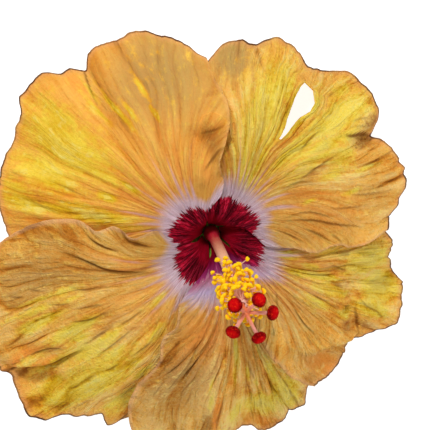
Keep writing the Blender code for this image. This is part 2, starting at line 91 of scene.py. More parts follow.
# Each petal from its free clockwise edge to the edge under its neighbour.
# claw and hidden: bearings of the claw and of the edge below the neighbour.
# lip: how pale the free edge is. crumple: how wrinkled the blade is.
# edge: radius and bearing along the free edge. rim: bearing and radius.
PETALS = {
    "petal_top_left": {
        "claw": 152, "hidden": 200, "lip": 0.25, "crumple": 0.5,
        "edge": (
            (18, 85), (22, 84), (30, 89), (34, 87), (42, 84.5), (50, 86.5), (58, 90), (64, 92.5),
        ),
        "rim": (
            (92.5, 64), (97, 69), (103, 73.5), (110, 79.5), (120, 81), (124, 80), (127, 77.5),
            (130, 82), (133, 82.5), (136, 87), (144, 87.5), (147, 83.5), (158, 84), (170, 80.5),
            (180, 77.5), (200, 66),
        ),
    },
    "petal_upper_right": {
        "claw": 80, "hidden": 108, "lip": 0.6, "crumple": 0.92,
        "edge": (
            (18, -4), (28, -3), (36, -5.5), (44, -1), (48, -3), (56, 0), (63.5, 2),
        ),
        "rim": (
            (2, 63.5), (7, 66), (12, 73), (18, 77), (27, 75), (32, 73.5), (36, 77), (43, 82.5),
            (48, 84.5), (54, 79.5), (60, 74), (66, 76.5), (71, 77), (77, 73.5), (81, 74.5), (87, 71.5),
            (92.5, 65), (108, 57),
        ),
    },
    "petal_lower_right": {
        "claw": 368, "hidden": 377, "lip": 0.5, "crumple": 1.05,
        "edge": (
            (18, 296), (30, 295), (40, 294.5), (48, 295.5), (58, 298.5), (64, 301), (68.5, 303.5),
        ),
        "rim": (
            (303.5, 68.5), (311, 70), (317, 70), (321, 69), (326, 76.5), (331, 82.5), (336, 83.5),
            (344, 84.5), (348, 75), (352, 68.5), (358, 68), (362, 64.5), (377, 56),
        ),
    },
    "petal_bottom": {
        "claw": -64, "hidden": -42, "lip": 0.6, "crumple": 1.15,
        "edge": (
            (18, -120), (25, -123.5), (32, -117.5), (38, -120.5), (46, -116), (54, -118), (64, -117.5),
            (72, -114.5), (80.5, -108.5),
        ),
        "rim": (
            (-108.5, 80.5), (-104, 81.5), (-97, 80), (-88.5, 76), (-83, 81), (-75, 87), (-69.5, 83),
            (-66.5, 76), (-62, 76.5), (-57.5, 71), (-42, 57),
        ),
    },
    "petal_left": {
        "claw": -136, "hidden": -95, "lip": 0.7, "crumple": 0.9,
        "edge": (
            (18, -189), (22, -194), (31, -186.5), (36, -192), (43, -187.5), (48, -190.5), (57, -189),
            (66, -185), (79, -177.5),
        ),
        "rim": (
            (-177.5, 79), (-172, 82), (-160, 87), (-151, 94), (-147, 97.5), (-144, 97.5), (-139, 100),
            (-134, 102), (-131, 99), (-128, 92), (-121, 83), (-118, 87), (-113, 78), (-95, 62),
        ),
    },
}

# The split near the tip of the upper right petal: radius, two bearings.
SPLIT = (
    (43, 58.7, 58.5), (48, 59, 56.8), (52, 59.7, 56.2), (56, 60, 55), (60.5, 60.2, 52.6),
    (65, 59.8, 52.4), (69, 58.6, 55.6),
)

# How far the petal's lines bow between claw and rim: degrees, then the shares
# of the petal's width where the bow starts, is full and has faded.
BOWS = {
    "petal_upper_right": (14, 0, 0.3, 0.8),
    "petal_bottom": (9, 0, 0.3, 0.8),
    "petal_left": (17, 0.3, 0.7, 1.05),
}

# Wrinkles from broad to fine: how many to a degree across and to a millimetre
# outwards, noise layer, height, and the radii between which they rise.
WRINKLES = (
    (0.19, 0.04, 4, 2.1, 16, 42),
    (0.38, 0.065, 5, 1.35, 13, 38),
    (0.75, 0.11, 6, 0.6, 11, 32),
    (1.2, 0.14, 15, 0.3, 14, 30),
)

# Edge of the crimson eye all round the throat: bearing, radius.
EYE = (
    (-9, 17.5), (0, 17.2), (7, 15.4), (20, 15.8), (28, 17.8), (37, 17.4), (60, 16.6), (83, 16.3),
    (92, 15.5), (102, 13.2), (114, 14.7), (127, 16), (155, 16.6), (170, 17.1), (183, 14.9),
    (203, 16.5), (225, 17.8), (237, 17.7), (252, 14.1), (269, 12), (300, 11), (319, 12.3), (328, 16.9),
    (341, 17.1), (351, 17.5), (360, 17.2), (367, 15.4),
)

# Width of the lavender halo outside the eye: bearing, width.
HALO = (
    (-9, 5.5), (15, 4.5), (38, 5.2), (65, 7), (80, 7.5), (88, 6), (96, 3.8), (110, 4), (122, 5.5),
    (137, 7.5), (152, 7), (166, 4), (176, 2.8), (186, 4.5), (197, 7), (215, 6.5), (240, 7), (262, 11),
    (285, 10.5), (305, 8.5), (325, 8.5), (340, 7.5), (351, 5.5), (369, 4.5),
)

# Creases: height, then points in x and y. The blade stands higher to the left
# of the way along the points and drops off to the right, where a dark line and
# a shadow are painted.
CREASES = {
    "petal_top_left": (
        (1.2, (-7, 40.5), (-2.5, 41.5), (3, 43.5)),
        (1.3, (-6, 26.5), (-2.5, 31.5), (0.5, 35), (4, 36.5)),
        (1.2, (-48.2, 68), (-46.8, 63.3), (-45.4, 58.6), (-43.5, 53.5), (-41, 48)),
        (0.7, (-62.5, 23.5), (-53.5, 20.5), (-44, 16.5)),
        (0.7, (-72, 16), (-63, 13.5), (-53.5, 10)),
        (0.6, (-75.5, 25), (-69, 23)),
    ),
    "petal_upper_right": (
        (4, (47.9, 37.9), (51.3, 37.7), (55.8, 38.1), (61.3, 36.5)),
        (0.8, (49.4, 40.3), (54.8, 40.5), (60.4, 39.3)),
        (0.7, (49.4, 42.2), (54.7, 43.5), (59.9, 43.6)),
        (1.4, (20.9, 8.9), (27, 9.3), (34.7, 9.1), (41.3, 7.6), (49.3, 6.2), (56.5, 4.8)),
        (1.3, (30, 6.7), (37.5, 3.5), (42.6, -0.2)),
        (1, (20.3, 5.9), (27, 3.5), (31.9, 0.4)),
        (0.9, (38.2, 12.9), (46.4, 12.8), (56.3, 13)),
        (1, (21.6, 9.6), (32.8, 12.1), (39.3, 10.6), (46, 9.9)),
        (0.8, (21.8, 19.6), (26.8, 22.4), (29.8, 23), (36.4, 21.9)),
        (0.7, (45, 18), (51, 17), (57, 17), (63.5, 17), (69, 18)),
        (0.5, (61, 22), (66, 23), (70, 23.5)),
        (0.5, (62, 20), (68, 21), (72, 22)),
        (1, (28, 32), (33.5, 37.5), (39, 41)),
        (1.1, (27.5, 22.5), (33, 26.5), (40, 30), (45, 32.5)),
        (1, (40.5, 4), (44.5, 1.5), (46.5, -1.5)),
        (0.8, (16, 71), (17.5, 67), (18, 64), (20, 60)),
    ),
    "petal_lower_right": (
        (1.3, (54.7, -25.3), (54.7, -28.5), (55.8, -33.2), (56.4, -37.6), (57.5, -42)),
        (0.6, (21.5, -15.5), (22, -21), (23, -25)),
        (1, (26, -19), (32, -29.5), (39, -37)),
        (0.7, (33, -33.5), (36, -40)),
        (0.7, (34, -17.5), (39, -21), (43.5, -22.5)),
        (4.4, (35.6, -45.6), (38.1, -41.4), (43.7, -40.5), (49.6, -40.8), (58.4, -39.3)),
        (0.9, (54.1, -21), (58.5, -27.2), (64, -31), (69.5, -37.5)),
        (0.8, (41, -7.5), (49.5, -12)),
        (0.8, (41, -14.5), (48.5, -18)),
    ),
    "petal_bottom": (
        (0.7, (-23.6, -51.4), (-19.6, -45.7), (-15.3, -39.3), (-11, -35.2)),
        (0.8, (-19.7, -58.7), (-14.4, -49.2), (-9.8, -42.3), (-7, -36.1), (-1.6, -29.7)),
        (0.6, (-14.7, -63.8), (-12.4, -55.6), (-8.9, -50.9), (-6.8, -44.7)),
        (0.6, (-24.9, -61.1), (-21.3, -53.8), (-17, -47.8)),
        (0.6, (-12.7, -66.2), (-10.4, -60.4), (-8.4, -52.2)),
        (0.6, (-4, -52), (-1, -44), (1.5, -36)),
        (1.1, (0.5, -76.5), (1, -70), (3, -58)),
        (0.6, (11, -41.5), (13.5, -49), (16.5, -55.5)),
    ),
    "petal_left": (
        (2.2, (-57.5, -2.5), (-51.5, -3.5), (-45, -5.5), (-40, -7.5), (-33.5, -8.5), (-24.5, -9)),
        (1, (-60.5, -6), (-54.5, -7), (-49.5, -8), (-42, -8.5), (-32, -9.5), (-23, -9.5)),
        (2, (-47, 5.5), (-44, 2.5), (-40, 0.5), (-34.5, -1.5)),
        (1.6, (-33, 5.5), (-31.5, 3), (-29, 2), (-23, 0)),
        (0.8, (-60, 4), (-58, 2)),
        (1, (-54.5, -14.5), (-50.5, -15.5), (-39, -13.5)),
        (1, (-52, -23.5), (-47.5, -22), (-40, -20.5)),
        (1.3, (-54.5, -28.5), (-46.5, -27), (-39, -23)),
        (0.8, (-62, -22), (-57.5, -22), (-52.5, -20.5)),
        (1, (-37.5, -30.5), (-32, -26.5), (-26.5, -22)),
        (0.8, (-68.5, -17.5), (-63, -17.5)),
        (0.8, (-77, -21.5), (-69, -20.5)),
        (1, (-80, -42), (-77, -41.5), (-73, -38.5), (-69, -36.5)),
        (1.5, (-70, -44.5), (-65.5, -42), (-60.5, -40), (-53.5, -40)),
        (
            4.6, (-87, -60), (-75.5, -51.4), (-70.4, -49.3), (-63.1, -48.2), (-58.8, -46.5),
            (-54.4, -43.4), (-47.4, -38.8),
        ),
        (1, (-52, -39.5), (-48, -37.5), (-42.5, -33), (-37.5, -29)),
        (1, (-46, -44.5), (-39.5, -38), (-33, -32), (-29, -29)),
        (0.9, (-33, -43), (-29, -39.5), (-24.5, -35.5), (-22.5, -33)),
        (0.6, (-63.5, -70.5), (-58.5, -66), (-53, -62)),
        (1.3, (-39, -77), (-35, -71.5), (-31.5, -68)),
    ),
}

# Yellow patches that follow the petal's lines: x, y, half length, half width,
# strength. Above a strength of 1 the middle is pale.
YELLOW = {
    "petal_top_left": (
        (-54, 34, 19, 9.5, 1.15), (-55.5, 44, 12, 5, 0.9), (-62, 24.5, 14, 6, 1.1),
        (-72, 19, 7, 4, 0.8), (-57, 12.5, 10, 2.4, 1), (-44.5, 11, 15, 3, 1.4),
        (-69, 13.5, 9, 3.4, 1.1), (-35, 48, 9, 0.9, 1.2), (-26.5, 56, 4, 0.9, 1.2),
        (-21.5, 46.5, 3.2, 0.9, 1.2), (-30.5, 47.5, 4, 0.8, 1.2), (-42, 47, 8, 1, 0.9),
        (-44.5, 53.5, 5, 1, 0.8), (-39.5, 17.5, 4, 1.6, 1.4), (-31, 21.5, 4, 1.1, 1.4),
        (-41, 26, 9, 4, 0.8),
    ),
    "petal_upper_right": (
        (16.5, 44, 22, 9, 1.25), (21.5, 52, 14, 5, 1.1), (28, 46, 13, 3.5, 1.2), (27, 55, 7, 3, 1),
        (36, 46, 12, 3.5, 1.1), (13, 30, 13, 6, 1.25), (45, 43.5, 17, 7, 1.05), (49, 53, 7, 4, 0.8),
        (27.5, 33.5, 12, 4.6, 1.15), (47, 36.5, 7, 3, 0.9), (37.5, 33.5, 12, 3, 1.4),
        (46, 30.5, 7, 4.6, 1), (42.5, 25, 6, 2, 0.9), (56, 25.5, 5, 1, 0.8), (49.5, 18, 4, 0.7, 1),
        (33, 15.5, 3.5, 0.5, 0.9), (30.5, 27.5, 8, 2, 1.3),
    ),
    "petal_lower_right": (
        (58, -9, 11, 6.5, 1.35), (64.5, -21, 11, 6.5, 1.5), (62, -29.5, 8, 4, 1.2),
        (25, -4.5, 4.5, 2, 1.4), (28.5, -11.5, 3.2, 1.2, 1.4), (36, -12, 9, 1.5, 1.5),
        (40, -17, 7, 2, 1.2), (36.5, -22.5, 7, 2, 1.1), (45.5, -20, 8, 2.6, 1), (49.5, -29, 5, 2.2, 1),
        (34.5, -9, 3.2, 1, 1.3), (41.5, -4, 8, 2.4, 0.9),
    ),
    "petal_bottom": (
        (19, -66.5, 7, 8, 1.3), (27.5, -61, 8, 6, 1.3), (7.2, -41, 6, 1.1, 1.5), (7, -52, 6, 0.8, 0.8),
        (11.8, -50, 3.5, 0.8, 1.2), (15.6, -55, 4, 1.2, 0.9), (21.5, -51, 8, 2.4, 1.15),
        (-1.8, -54, 5, 0.7, 0.8), (-1.5, -62, 4, 1, 0.9), (15, -39, 3.2, 1.1, 1.2),
        (9, -69, 6, 4, 0.9),
    ),
    "petal_left": (
        (-54.5, -17, 6, 1.4, 0.75), (-52.5, -19.5, 4, 0.8, 0.75), (-66, -22, 8, 1, 0.8),
        (-66.5, -26, 9, 1.4, 0.85), (-63.5, -29.5, 9, 1.7, 1.35), (-75, -30.5, 6, 1, 0.6),
        (-69, -46.5, 9, 1.6, 0.6), (-68, -32.5, 6.5, 2.2, 1.3), (-50, -30.5, 9.5, 2, 1.2),
        (-56, -34.5, 7, 2.2, 1), (-50, -35, 6, 2.2, 0.9), (-41, -36, 8, 1.3, 1.35),
        (-48, -41.5, 9, 3.2, 1.05), (-56.5, -46, 7, 1.7, 1), (-37.5, -41.5, 6, 1.3, 1.35),
        (-30.5, -45, 5, 1.4, 1.3), (-47, -56, 24, 7, 1.1), (-60, -58, 10, 3, 0.9),
        (-62.5, -64, 7, 2.2, 0.9), (-35, -61.5, 10, 4, 0.95), (-27, -49, 5.5, 1.7, 1),
        (-21.5, -32, 5, 1.1, 1.4), (-65, -51.5, 6, 2, 0.7), (-21, -20, 5, 0.9, 0.9),
    ),
}

# Duller tan (above zero) and browner (below zero) patches, written as above.
# The browner ones are partly the petal's own brown and partly painted shadow
# below flaps, folds and ledges, as under the left petal's flap.
SHADES = {
    "petal_top_left": (
        (-20, 60, 20, 22, 0.9), (-2, 37.5, 9, 4, -0.9), (2, 30, 8, 2.5, -0.7), (-30, 20, 16, 3, -0.3),
        (-54, 22, 12, 1.6, -0.7), (-68, 18, 8, 1.6, -0.6),
    ),
    "petal_upper_right": (
        (7, 66, 9, 9, 1.1), (16, 68.5, 6, 3, -0.5), (12, 72, 4, 9, 0.9), (60, 48, 6, 6, -1.1),
        (59, 42.5, 7, 3, -1.2), (51, 42, 4, 1.6, -0.8), (42, 7, 22, 5, -0.5), (58, 15, 16, 9, -0.5),
        (55, 34.5, 7, 2.6, -1.2), (33, 36, 9, 1.5, -0.6), (34, 25.5, 11, 2, -0.6),
        (56, 47.5, 5, 2.6, -0.6),
    ),
    "petal_lower_right": (
        (38, -47, 10, 9, -0.65), (33, -61, 4, 6, -0.9), (50.5, -34, 4, 3.5, -0.9),
        (58, -36, 6, 2.4, -0.9), (45, -10, 8, 1.4, -0.7), (45.5, -16.5, 6, 1.6, -0.7),
        (28, -16, 16, 5, -0.2),
    ),
    "petal_bottom": (
        (7, -77, 4, 3, -0.7), (9, -57, 5, 8, -0.45), (34.5, -63, 5, 2.6, -1.1), (24, -78, 3, 9, -0.7),
        (-15, -50, 30, 14, -0.76), (13, -46, 9, 4, -0.5), (9, -59, 8, 3.4, -0.4),
        (-2, -72, 8, 3, -0.8),
    ),
    "petal_left": (
        (-64, -12, 28, 15, -0.72), (-30, -9.5, 16, 2.2, -0.5), (-70, -52.6, 9, 1.8, -1.2),
        (-52, -66, 14, 4, -0.6), (-44, -27, 11, 1.8, -0.7), (-40, -31.5, 10, 1.6, -0.6),
        (-32, -33, 9, 1.6, -0.6), (-62, -41.5, 9, 1.8, -0.7), (-36, -69, 9, 3, -0.5),
    ),
}

# Bright orange patches, written as above. They are partly the petal's own
# orange and partly painted highlight on raised fold ridges and flaps, as on
# the ridge of the top left petal's fold.
GLOW = {
    "petal_top_left": (
        (-4, 28, 10, 3, 0.8), (-1, 44, 6, 3, 0.5), (-50, 57, 9, 4, 0.7),
    ),
    "petal_upper_right": (
        (23.5, 62, 6, 4, 0.9), (42, 8, 20, 5, 0.5),
    ),
    "petal_bottom": (
        (-5, -32, 10, 9, 0.8), (1, -67, 9, 1.3, 1.6), (24, -77, 3, 9, 0.7),
    ),
    "petal_lower_right": (
        (44, -51, 12, 6, 0.9),
    ),
    "petal_left": (
        (-32, -7, 11, 5, 0.55), (-72, -47.5, 10, 3.4, 1.4), (-61, -45.5, 5, 1.6, 0.8),
    ),
}

CALYX_THICKNESS = 0.7
CALYX_PATH = (
    (1.3, 4), (3.6, 4.1), (5.2, 5.2), (6.4, 8), (7.7, 12), (10.2, 15.8), (13.4, 18.9), (16.8, 21.2),
    (20.5, 22.8),
)
CALYX_TUBE_SHARE = 0.62
CALYX_ROWS = 36
CALYX_SIDES = 150
STEM_PROFILE = (
    (0, 0), (1.7, 0), (1.7, 1.4), (2.7, 2.4), (2.7, 3.2), (0.9, 3.3), (0.9, 4.8), (0, 4.8),
)
BRACT_COUNT = 7
BRACT_THICKNESS = 0.5
BRACT_ROWS = 24
BRACT_COLUMNS = 8
BRACT_PATH = (
    (1.9, 2.8), (5.7, 2.8), (8.7, 4.8), (10.8, 8.4), (12.2, 12.6),
)

# The column stands on the axis and leans over above this height.
LEAN_START = 15
LEAN_END = 74
LEAN = (4.7, -13.5)
TUBE_PROFILE = (
    (2.5, 5), (3.05, 5), (3, 8), (2.5, 11), (2, 15), (1.95, 28), (1.95, 42), (1.8, 56), (1.55, 66),
    (1.4, 69.7), (1.3, 70), (1, 70), (1, 56),
)
ANTHER_COUNT = 66
LATE_ANTHERS = 145
ANTHER_LENGTH = 1.95
FILAMENT_RADIUS = 0.17
FIRST_ANTHER = 44
LAST_ANTHER = 69
PISTIL_PROFILE = (
    (0, 5.3), (1.5, 5.3), (2.1, 6.4), (1.9, 8.2), (1.1, 10.2), (0.55, 12), (0.55, 28), (0.55, 42),
    (0.55, 56), (0.55, 66), (0.7, 72), (1.1, 74), (0.9, 75.3), (0, 75.6),
)
HUB_HEIGHT = 74.3
BRANCH_RADIUS = 0.72
PAD_SIZE = 4.7
PAD_FLATNESS = 0.68
PAPILLAE = 620

# Stigma pads from the hub: x, y and rise.
PADS = (
    (-3.8, 3.2, 3.4), (3.9, 4.9, 3.9), (8.6, 0.1, 2.2), (-4.3, -5.9, 2.6), (4.1, -8, 2.4),
)

# The camera stands over the bloom, a little above and to the left of its axis.
TO_CAMERA = Vector((-0.094, 0.166, 0.982)).normalized()
CAMERA_PLACE = (-40.02, 80, 438.5)
SENSOR = 36
FOCAL_PIXELS = 1165.6
PICTURE = 430
LIGHT_TARGET = Vector((0, 0, 0.02))


def smoothstep(low, high, value):
    """Rises smoothly from 0 at low to 1 at high."""
    t = np.clip((value - low) / (high - low), 0, 1)
    return t * t * (3 - 2 * t)


def smooth_curve(xs, ys, x):
    """A curve through the points with an even bend at each."""
    xs = np.asarray(xs, float)
    ys = np.asarray(ys, float)
    slopes = np.gradient(ys, xs)
    index = np.clip(np.searchsorted(xs, x) - 1, 0, len(xs) - 2)
    width = xs[index + 1] - xs[index]
    t = (x - xs[index]) / width
    start = (1 + 2 * t) * (1 - t) ** 2 * ys[index]
    end = t * t * (3 - 2 * t) * ys[index + 1]
    bend = t * (1 - t) ** 2 * slopes[index] - t * t * (1 - t) * slopes[index + 1]
    return start + end + bend * width


def path_lengths(path):
    """Distance along a path at each of its points."""
    steps = [math.dist(a, b) for a, b in zip(path, path[1:])]
    return np.concatenate(([0], np.cumsum(steps)))


PROFILE_LENGTHS = path_lengths(PETAL_PROFILE)
PROFILE_RADII, PROFILE_HEIGHTS = zip(*PETAL_PROFILE)

NOISE_SIZE = 64
NOISE_LAYERS = 16
NOISE_SHAPE = (NOISE_LAYERS, NOISE_SIZE, NOISE_SIZE)
NOISE_GRIDS = np.random.default_rng(11).uniform(-1, 1, NOISE_SHAPE)


def noise(x, y, layer):
    """Smooth noise from -1 to 1 with bumps about one unit across."""
    x, y = np.broadcast_arrays(x, y)
    cell_x = np.floor(x).astype(int)
    cell_y = np.floor(y).astype(int)
    share_x = smoothstep(0, 1, x - cell_x)
    share_y = smoothstep(0, 1, y - cell_y)
    rows = []
    for j in (0, 1):
        cells = [((cell_x + i) % NOISE_SIZE, (cell_y + j) % NOISE_SIZE) for i in (0, 1)]
        left, right = [NOISE_GRIDS[layer][cell] for cell in cells]
        rows.append(left * (1 - share_x) + right * share_x)
    return rows[0] * (1 - share_y) + rows[1] * share_y


def profile_point(length):
    """Radius, height and upward normal of the shared profile."""
    radius = smooth_curve(PROFILE_LENGTHS, PROFILE_RADII, length)
    height = smooth_curve(PROFILE_LENGTHS, PROFILE_HEIGHTS, length)
    run = smooth_curve(PROFILE_LENGTHS, PROFILE_RADII, length + 0.1) - radius
    rise = smooth_curve(PROFILE_LENGTHS, PROFILE_HEIGHTS, length + 0.1) - height
    size = np.hypot(run, rise)
    return radius, height, -rise / size, run / size


def reach(bearing):
    """The left petal's far corner stretches the shared surface there."""
    return 1 + 0.13 * np.maximum(0, np.cos(np.radians(bearing - 222))) ** 8


def path_gap(path, steps, x, y):
    """Distance from a path, the same with a sign above zero on its left, and the step there."""
    nearest = np.full(x.shape, 1e9)
    signed = np.zeros(x.shape)
    place = np.zeros(x.shape)
    for (x0, y0), (x1, y1), step in zip(path, path[1:], steps):
        run = x1 - x0
        rise = y1 - y0
        length = math.hypot(run, rise)
        share = np.clip(((x - x0) * run + (y - y0) * rise) / length**2, 0, 1)
        gap_x = x - x0 - share * run
        gap_y = y - y0 - share * rise
        gap = np.hypot(gap_x, gap_y)
        closer = gap < nearest
        nearest = np.where(closer, gap, nearest)
        signed = np.where(closer, np.sign(run * gap_y - rise * gap_x) * gap, signed)
        place = np.where(closer, step + share * length, place)
    return nearest, signed, place


def shared_height(radius, bearing):
    """How far the shared surface rises from its profile."""
    angle = np.radians(bearing)
    outer = smoothstep(34, 82, radius)
    height = np.zeros(radius.shape)
    for low_bearing, spread, drop in LOW_POINTS:
        gap = (bearing - low_bearing + 180) % 360 - 180
        height = height - drop * np.exp(-((gap / spread) ** 2)) * outer
    for count, phase, size in RIM_WAVES:
        height = height + size * np.sin(count * angle + math.radians(phase)) * outer
    x = radius * np.cos(angle)
    y = radius * np.sin(angle)
    for half_width, size, *points in FOLDS:
        nearest, _, _ = path_gap(points, path_lengths(points), x, y)
        height = height + size * np.exp(-((nearest / half_width) ** 2))
    return height


def vein_paths(rng):
    """Veins of one petal as side at each along, branching outwards."""
    veins = []
    for number in range(11):
        base = -0.92 + 1.84 * number / 10 + rng.uniform(-0.03, 0.03)
        bend = rng.uniform(-0.03, 0.03)
        veins.append((0, base, base, bend, 1))
        for turn in (-1, 1):
            start = rng.uniform(0.22, 0.4)
            end = base + turn * rng.uniform(0.045, 0.075)
            veins.append((start, base, end, rng.uniform(-0.02, 0.02), 0.8))
            for fork in (-1, 1):
                start = rng.uniform(0.5, 0.7)
                tip = end + fork * rng.uniform(0.02, 0.035)
                veins.append((start, end, tip, rng.uniform(-0.01, 0.01), 0.6))
    return veins


def vein_masks(veins, side, along, half_width, radius):
    """Thin lines on all veins, and rays that taper away from the eye."""
    lines = np.zeros(side.shape)
    rays = np.zeros(side.shape)
    taper = 0.22 + 0.45 * (1 - smoothstep(16, 40, radius))
    for start, from_side, to_side, bend, strength in veins:
        share = np.clip((along - start) / (1 - start), 0, 1)
        path = from_side + (to_side - from_side) * smoothstep(0, 0.55, share)
        gap = np.abs(side - path - bend * np.sin(share * 6)) * half_width
        shown = smoothstep(start, start + 0.05, along)
        lines = np.maximum(lines, np.exp(-((gap / 0.6) ** 2)) * shown * strength)
        if start == 0:
            rays = np.maximum(rays, np.exp(-((gap / taper) ** 2)))
    return lines, rays


def patches(spots, x, y, side, half_width, radius):
    """The strongest of the patches at each place, with its sign."""
    value = np.zeros(x.shape)
    for spot_x, spot_y, long, wide, strength in spots:
        nearest = np.argmin(np.hypot(x - spot_x, y - spot_y))
        far = radius - radius.flat[nearest]
        across = (side - side.flat[nearest]) * half_width
        spot = strength * np.exp(-((far / long) ** 2) - (across / wide) ** 2)
        value = np.where(np.abs(spot) > np.abs(value), spot, value)
    return value


def crease_relief(creases, x, y):
    """Height of the creases, and their painted shade: a dark line and a painted shadow below each ledge, at
    each x and y.
    """
    height = np.zeros(x.shape)
    dark = np.zeros(x.shape)
    for size, *points in creases:
        lengths = path_lengths(points)
        steps = np.linspace(0, lengths[-1], 4 * len(points))
        path = list(zip(*(smooth_curve(lengths, row, steps) for row in zip(*points))))
        _, signed, place = path_gap(path, steps, x, y)
        taper = np.sin(np.pi * np.clip(place / steps[-1], 0, 1)) ** 0.7
        high = size * np.exp(-np.maximum(signed, 0) / 3.6)
        low = -0.4 * size * np.exp(np.minimum(signed, 0) / 1.8)
        share = 1 / (1 + np.exp(np.clip(-signed / 0.42, -30, 30)))
        height = height + (low + (high - low) * share) * taper
        # Painted shade: a dark line at the foot of each ledge and a painted shadow on its low side.
        line = 0.8 * np.exp(-(((signed + 0.45) / 0.6) ** 2))
        shadow = 0.5 * np.exp(-((signed / (0.9 + 0.6 * size)) ** 2)) * (signed < 0)
        dark = np.maximum(dark, (line + shadow) * taper * min(1.3, 0.3 + 0.42 * size))
    return height, dark


def crease_lines(field, width, radius, half_degrees):
    """1 where the field crosses zero along the rays, 0 away from there."""
    across = np.gradient(field, axis=0) / (np.radians(half_degrees) * radius * 2 / COLUMNS)
    along = np.gradient(field, axis=1) * ROWS / 75
    steep = across**2 / (across**2 + 3 * along**2 + 0.0001)
    return np.exp(-((field / width) ** 2)) * steep**2


def wrinkle_relief(crumple, seed, side, along, radius, half_degrees, turn):
    """Height of the wrinkles, painted shade in their valleys and creases with painted light on their crests,
    and the lines they follow.
    """
    blade_share = smoothstep(16, 42, radius)
    bent = turn + 2.2 * noise(turn * 0.12, radius * 0.05 + seed, 9) * blade_share
    bent = bent + 0.8 * noise(turn * 0.4, radius * 0.11 + seed, 10) * blade_share
    rough = smoothstep(-0.4, 0.4, noise(turn * 0.035, radius * 0.05 + seed, 12))
    rough = (0.4 + 0.6 * rough) * crumple
    height = -1.1 * blade_share
    folds = []
    for across, outwards, layer, size, start, full in WRINKLES:
        fold = noise(bent * across, radius * outwards + seed, layer)
        height = height + size * np.abs(fold) * smoothstep(start, full, radius)
        folds.append(fold)
    broad, pleat, crepe, _ = folds
    # Painted shade in the wrinkle valleys and painted light on their crests.
    crest_light = 0.5 * (np.abs(broad) + np.abs(pleat) - 0.6)
    valley_shade_crest_light = 0.8 * np.exp(-((broad / 0.16) ** 2)) + 0.5 * np.exp(-((pleat / 0.18) ** 2))
    valley_shade_crest_light = (valley_shade_crest_light - crest_light) * rough * smoothstep(16, 34, radius)
    # Painted shade: dark lines where the wrinkle folds cross zero.
    painted_crease_shade = crease_lines(broad, 0.09, radius, half_degrees)
    painted_crease_shade = painted_crease_shade + 0.8 * crease_lines(pleat, 0.1, radius, half_degrees)
    painted_crease_shade = painted_crease_shade + 0.6 * crease_lines(crepe, 0.13, radius, half_degrees)
    painted_crease_shade = painted_crease_shade * np.minimum(rough, 0.7) * smoothstep(18, 36, radius)

    rim = smoothstep(0.82, 1, along)
    crinkle = 0.8 * noise(turn * 0.28, radius * 0.1 + seed, 7) * rim
    crinkle = crinkle + 0.4 * noise(turn * 0.7, radius * 0.22 + seed, 8) * rim**2
    crinkle = np.where(side < -0.55, np.abs(crinkle), crinkle)
    swell = 0.8 * noise(bent * 0.1, radius * 0.05 + seed, 3) * blade_share
    ribs = 0.3 * noise(turn * 0.16, seed, 13) * (1 - blade_share) * smoothstep(6, 10, radius)
    ruffle = np.abs(noise(radius * 0.22 + seed, side * 3, 14)) * np.exp(-(side + 1) / 0.07)
    ruffle = 2.4 * ruffle * smoothstep(18, 34, radius)
    shown = 1 - 0.75 * smoothstep(0.45, 0.75, side)
    height = (height * rough + swell + crinkle) * shown + ribs + ruffle
    return height, valley_shade_crest_light, painted_crease_shade, bent


def open_split(side, radius, bearing):
    """Parts the petal's columns at the split, and names the column that it lies in."""
    radii, high, low = (np.array(row) for row in zip(*SPLIT))
    middle = np.interp(radius, radii, (high + low) / 2)
    opening = np.interp(radius, radii, (high - low) / 2, left=0, right=0)
    row = np.argmin(np.abs(radius[COLUMNS // 2] - 60))
    column = int(np.searchsorted(bearing[:, row], middle[0, row])) - 1
    gap = side - (side[column] + side[column + 1]) / 2
    push = np.sign(gap) * opening * np.exp(-np.abs(gap) / 0.13)
    shift = middle - (bearing[column] + bearing[column + 1]) / 2
    inside = smoothstep(38, 46, radius) * (1 - smoothstep(67, 72, radius))
    return bearing + (push + shift * np.exp(-np.abs(gap) / 0.3) * inside), column


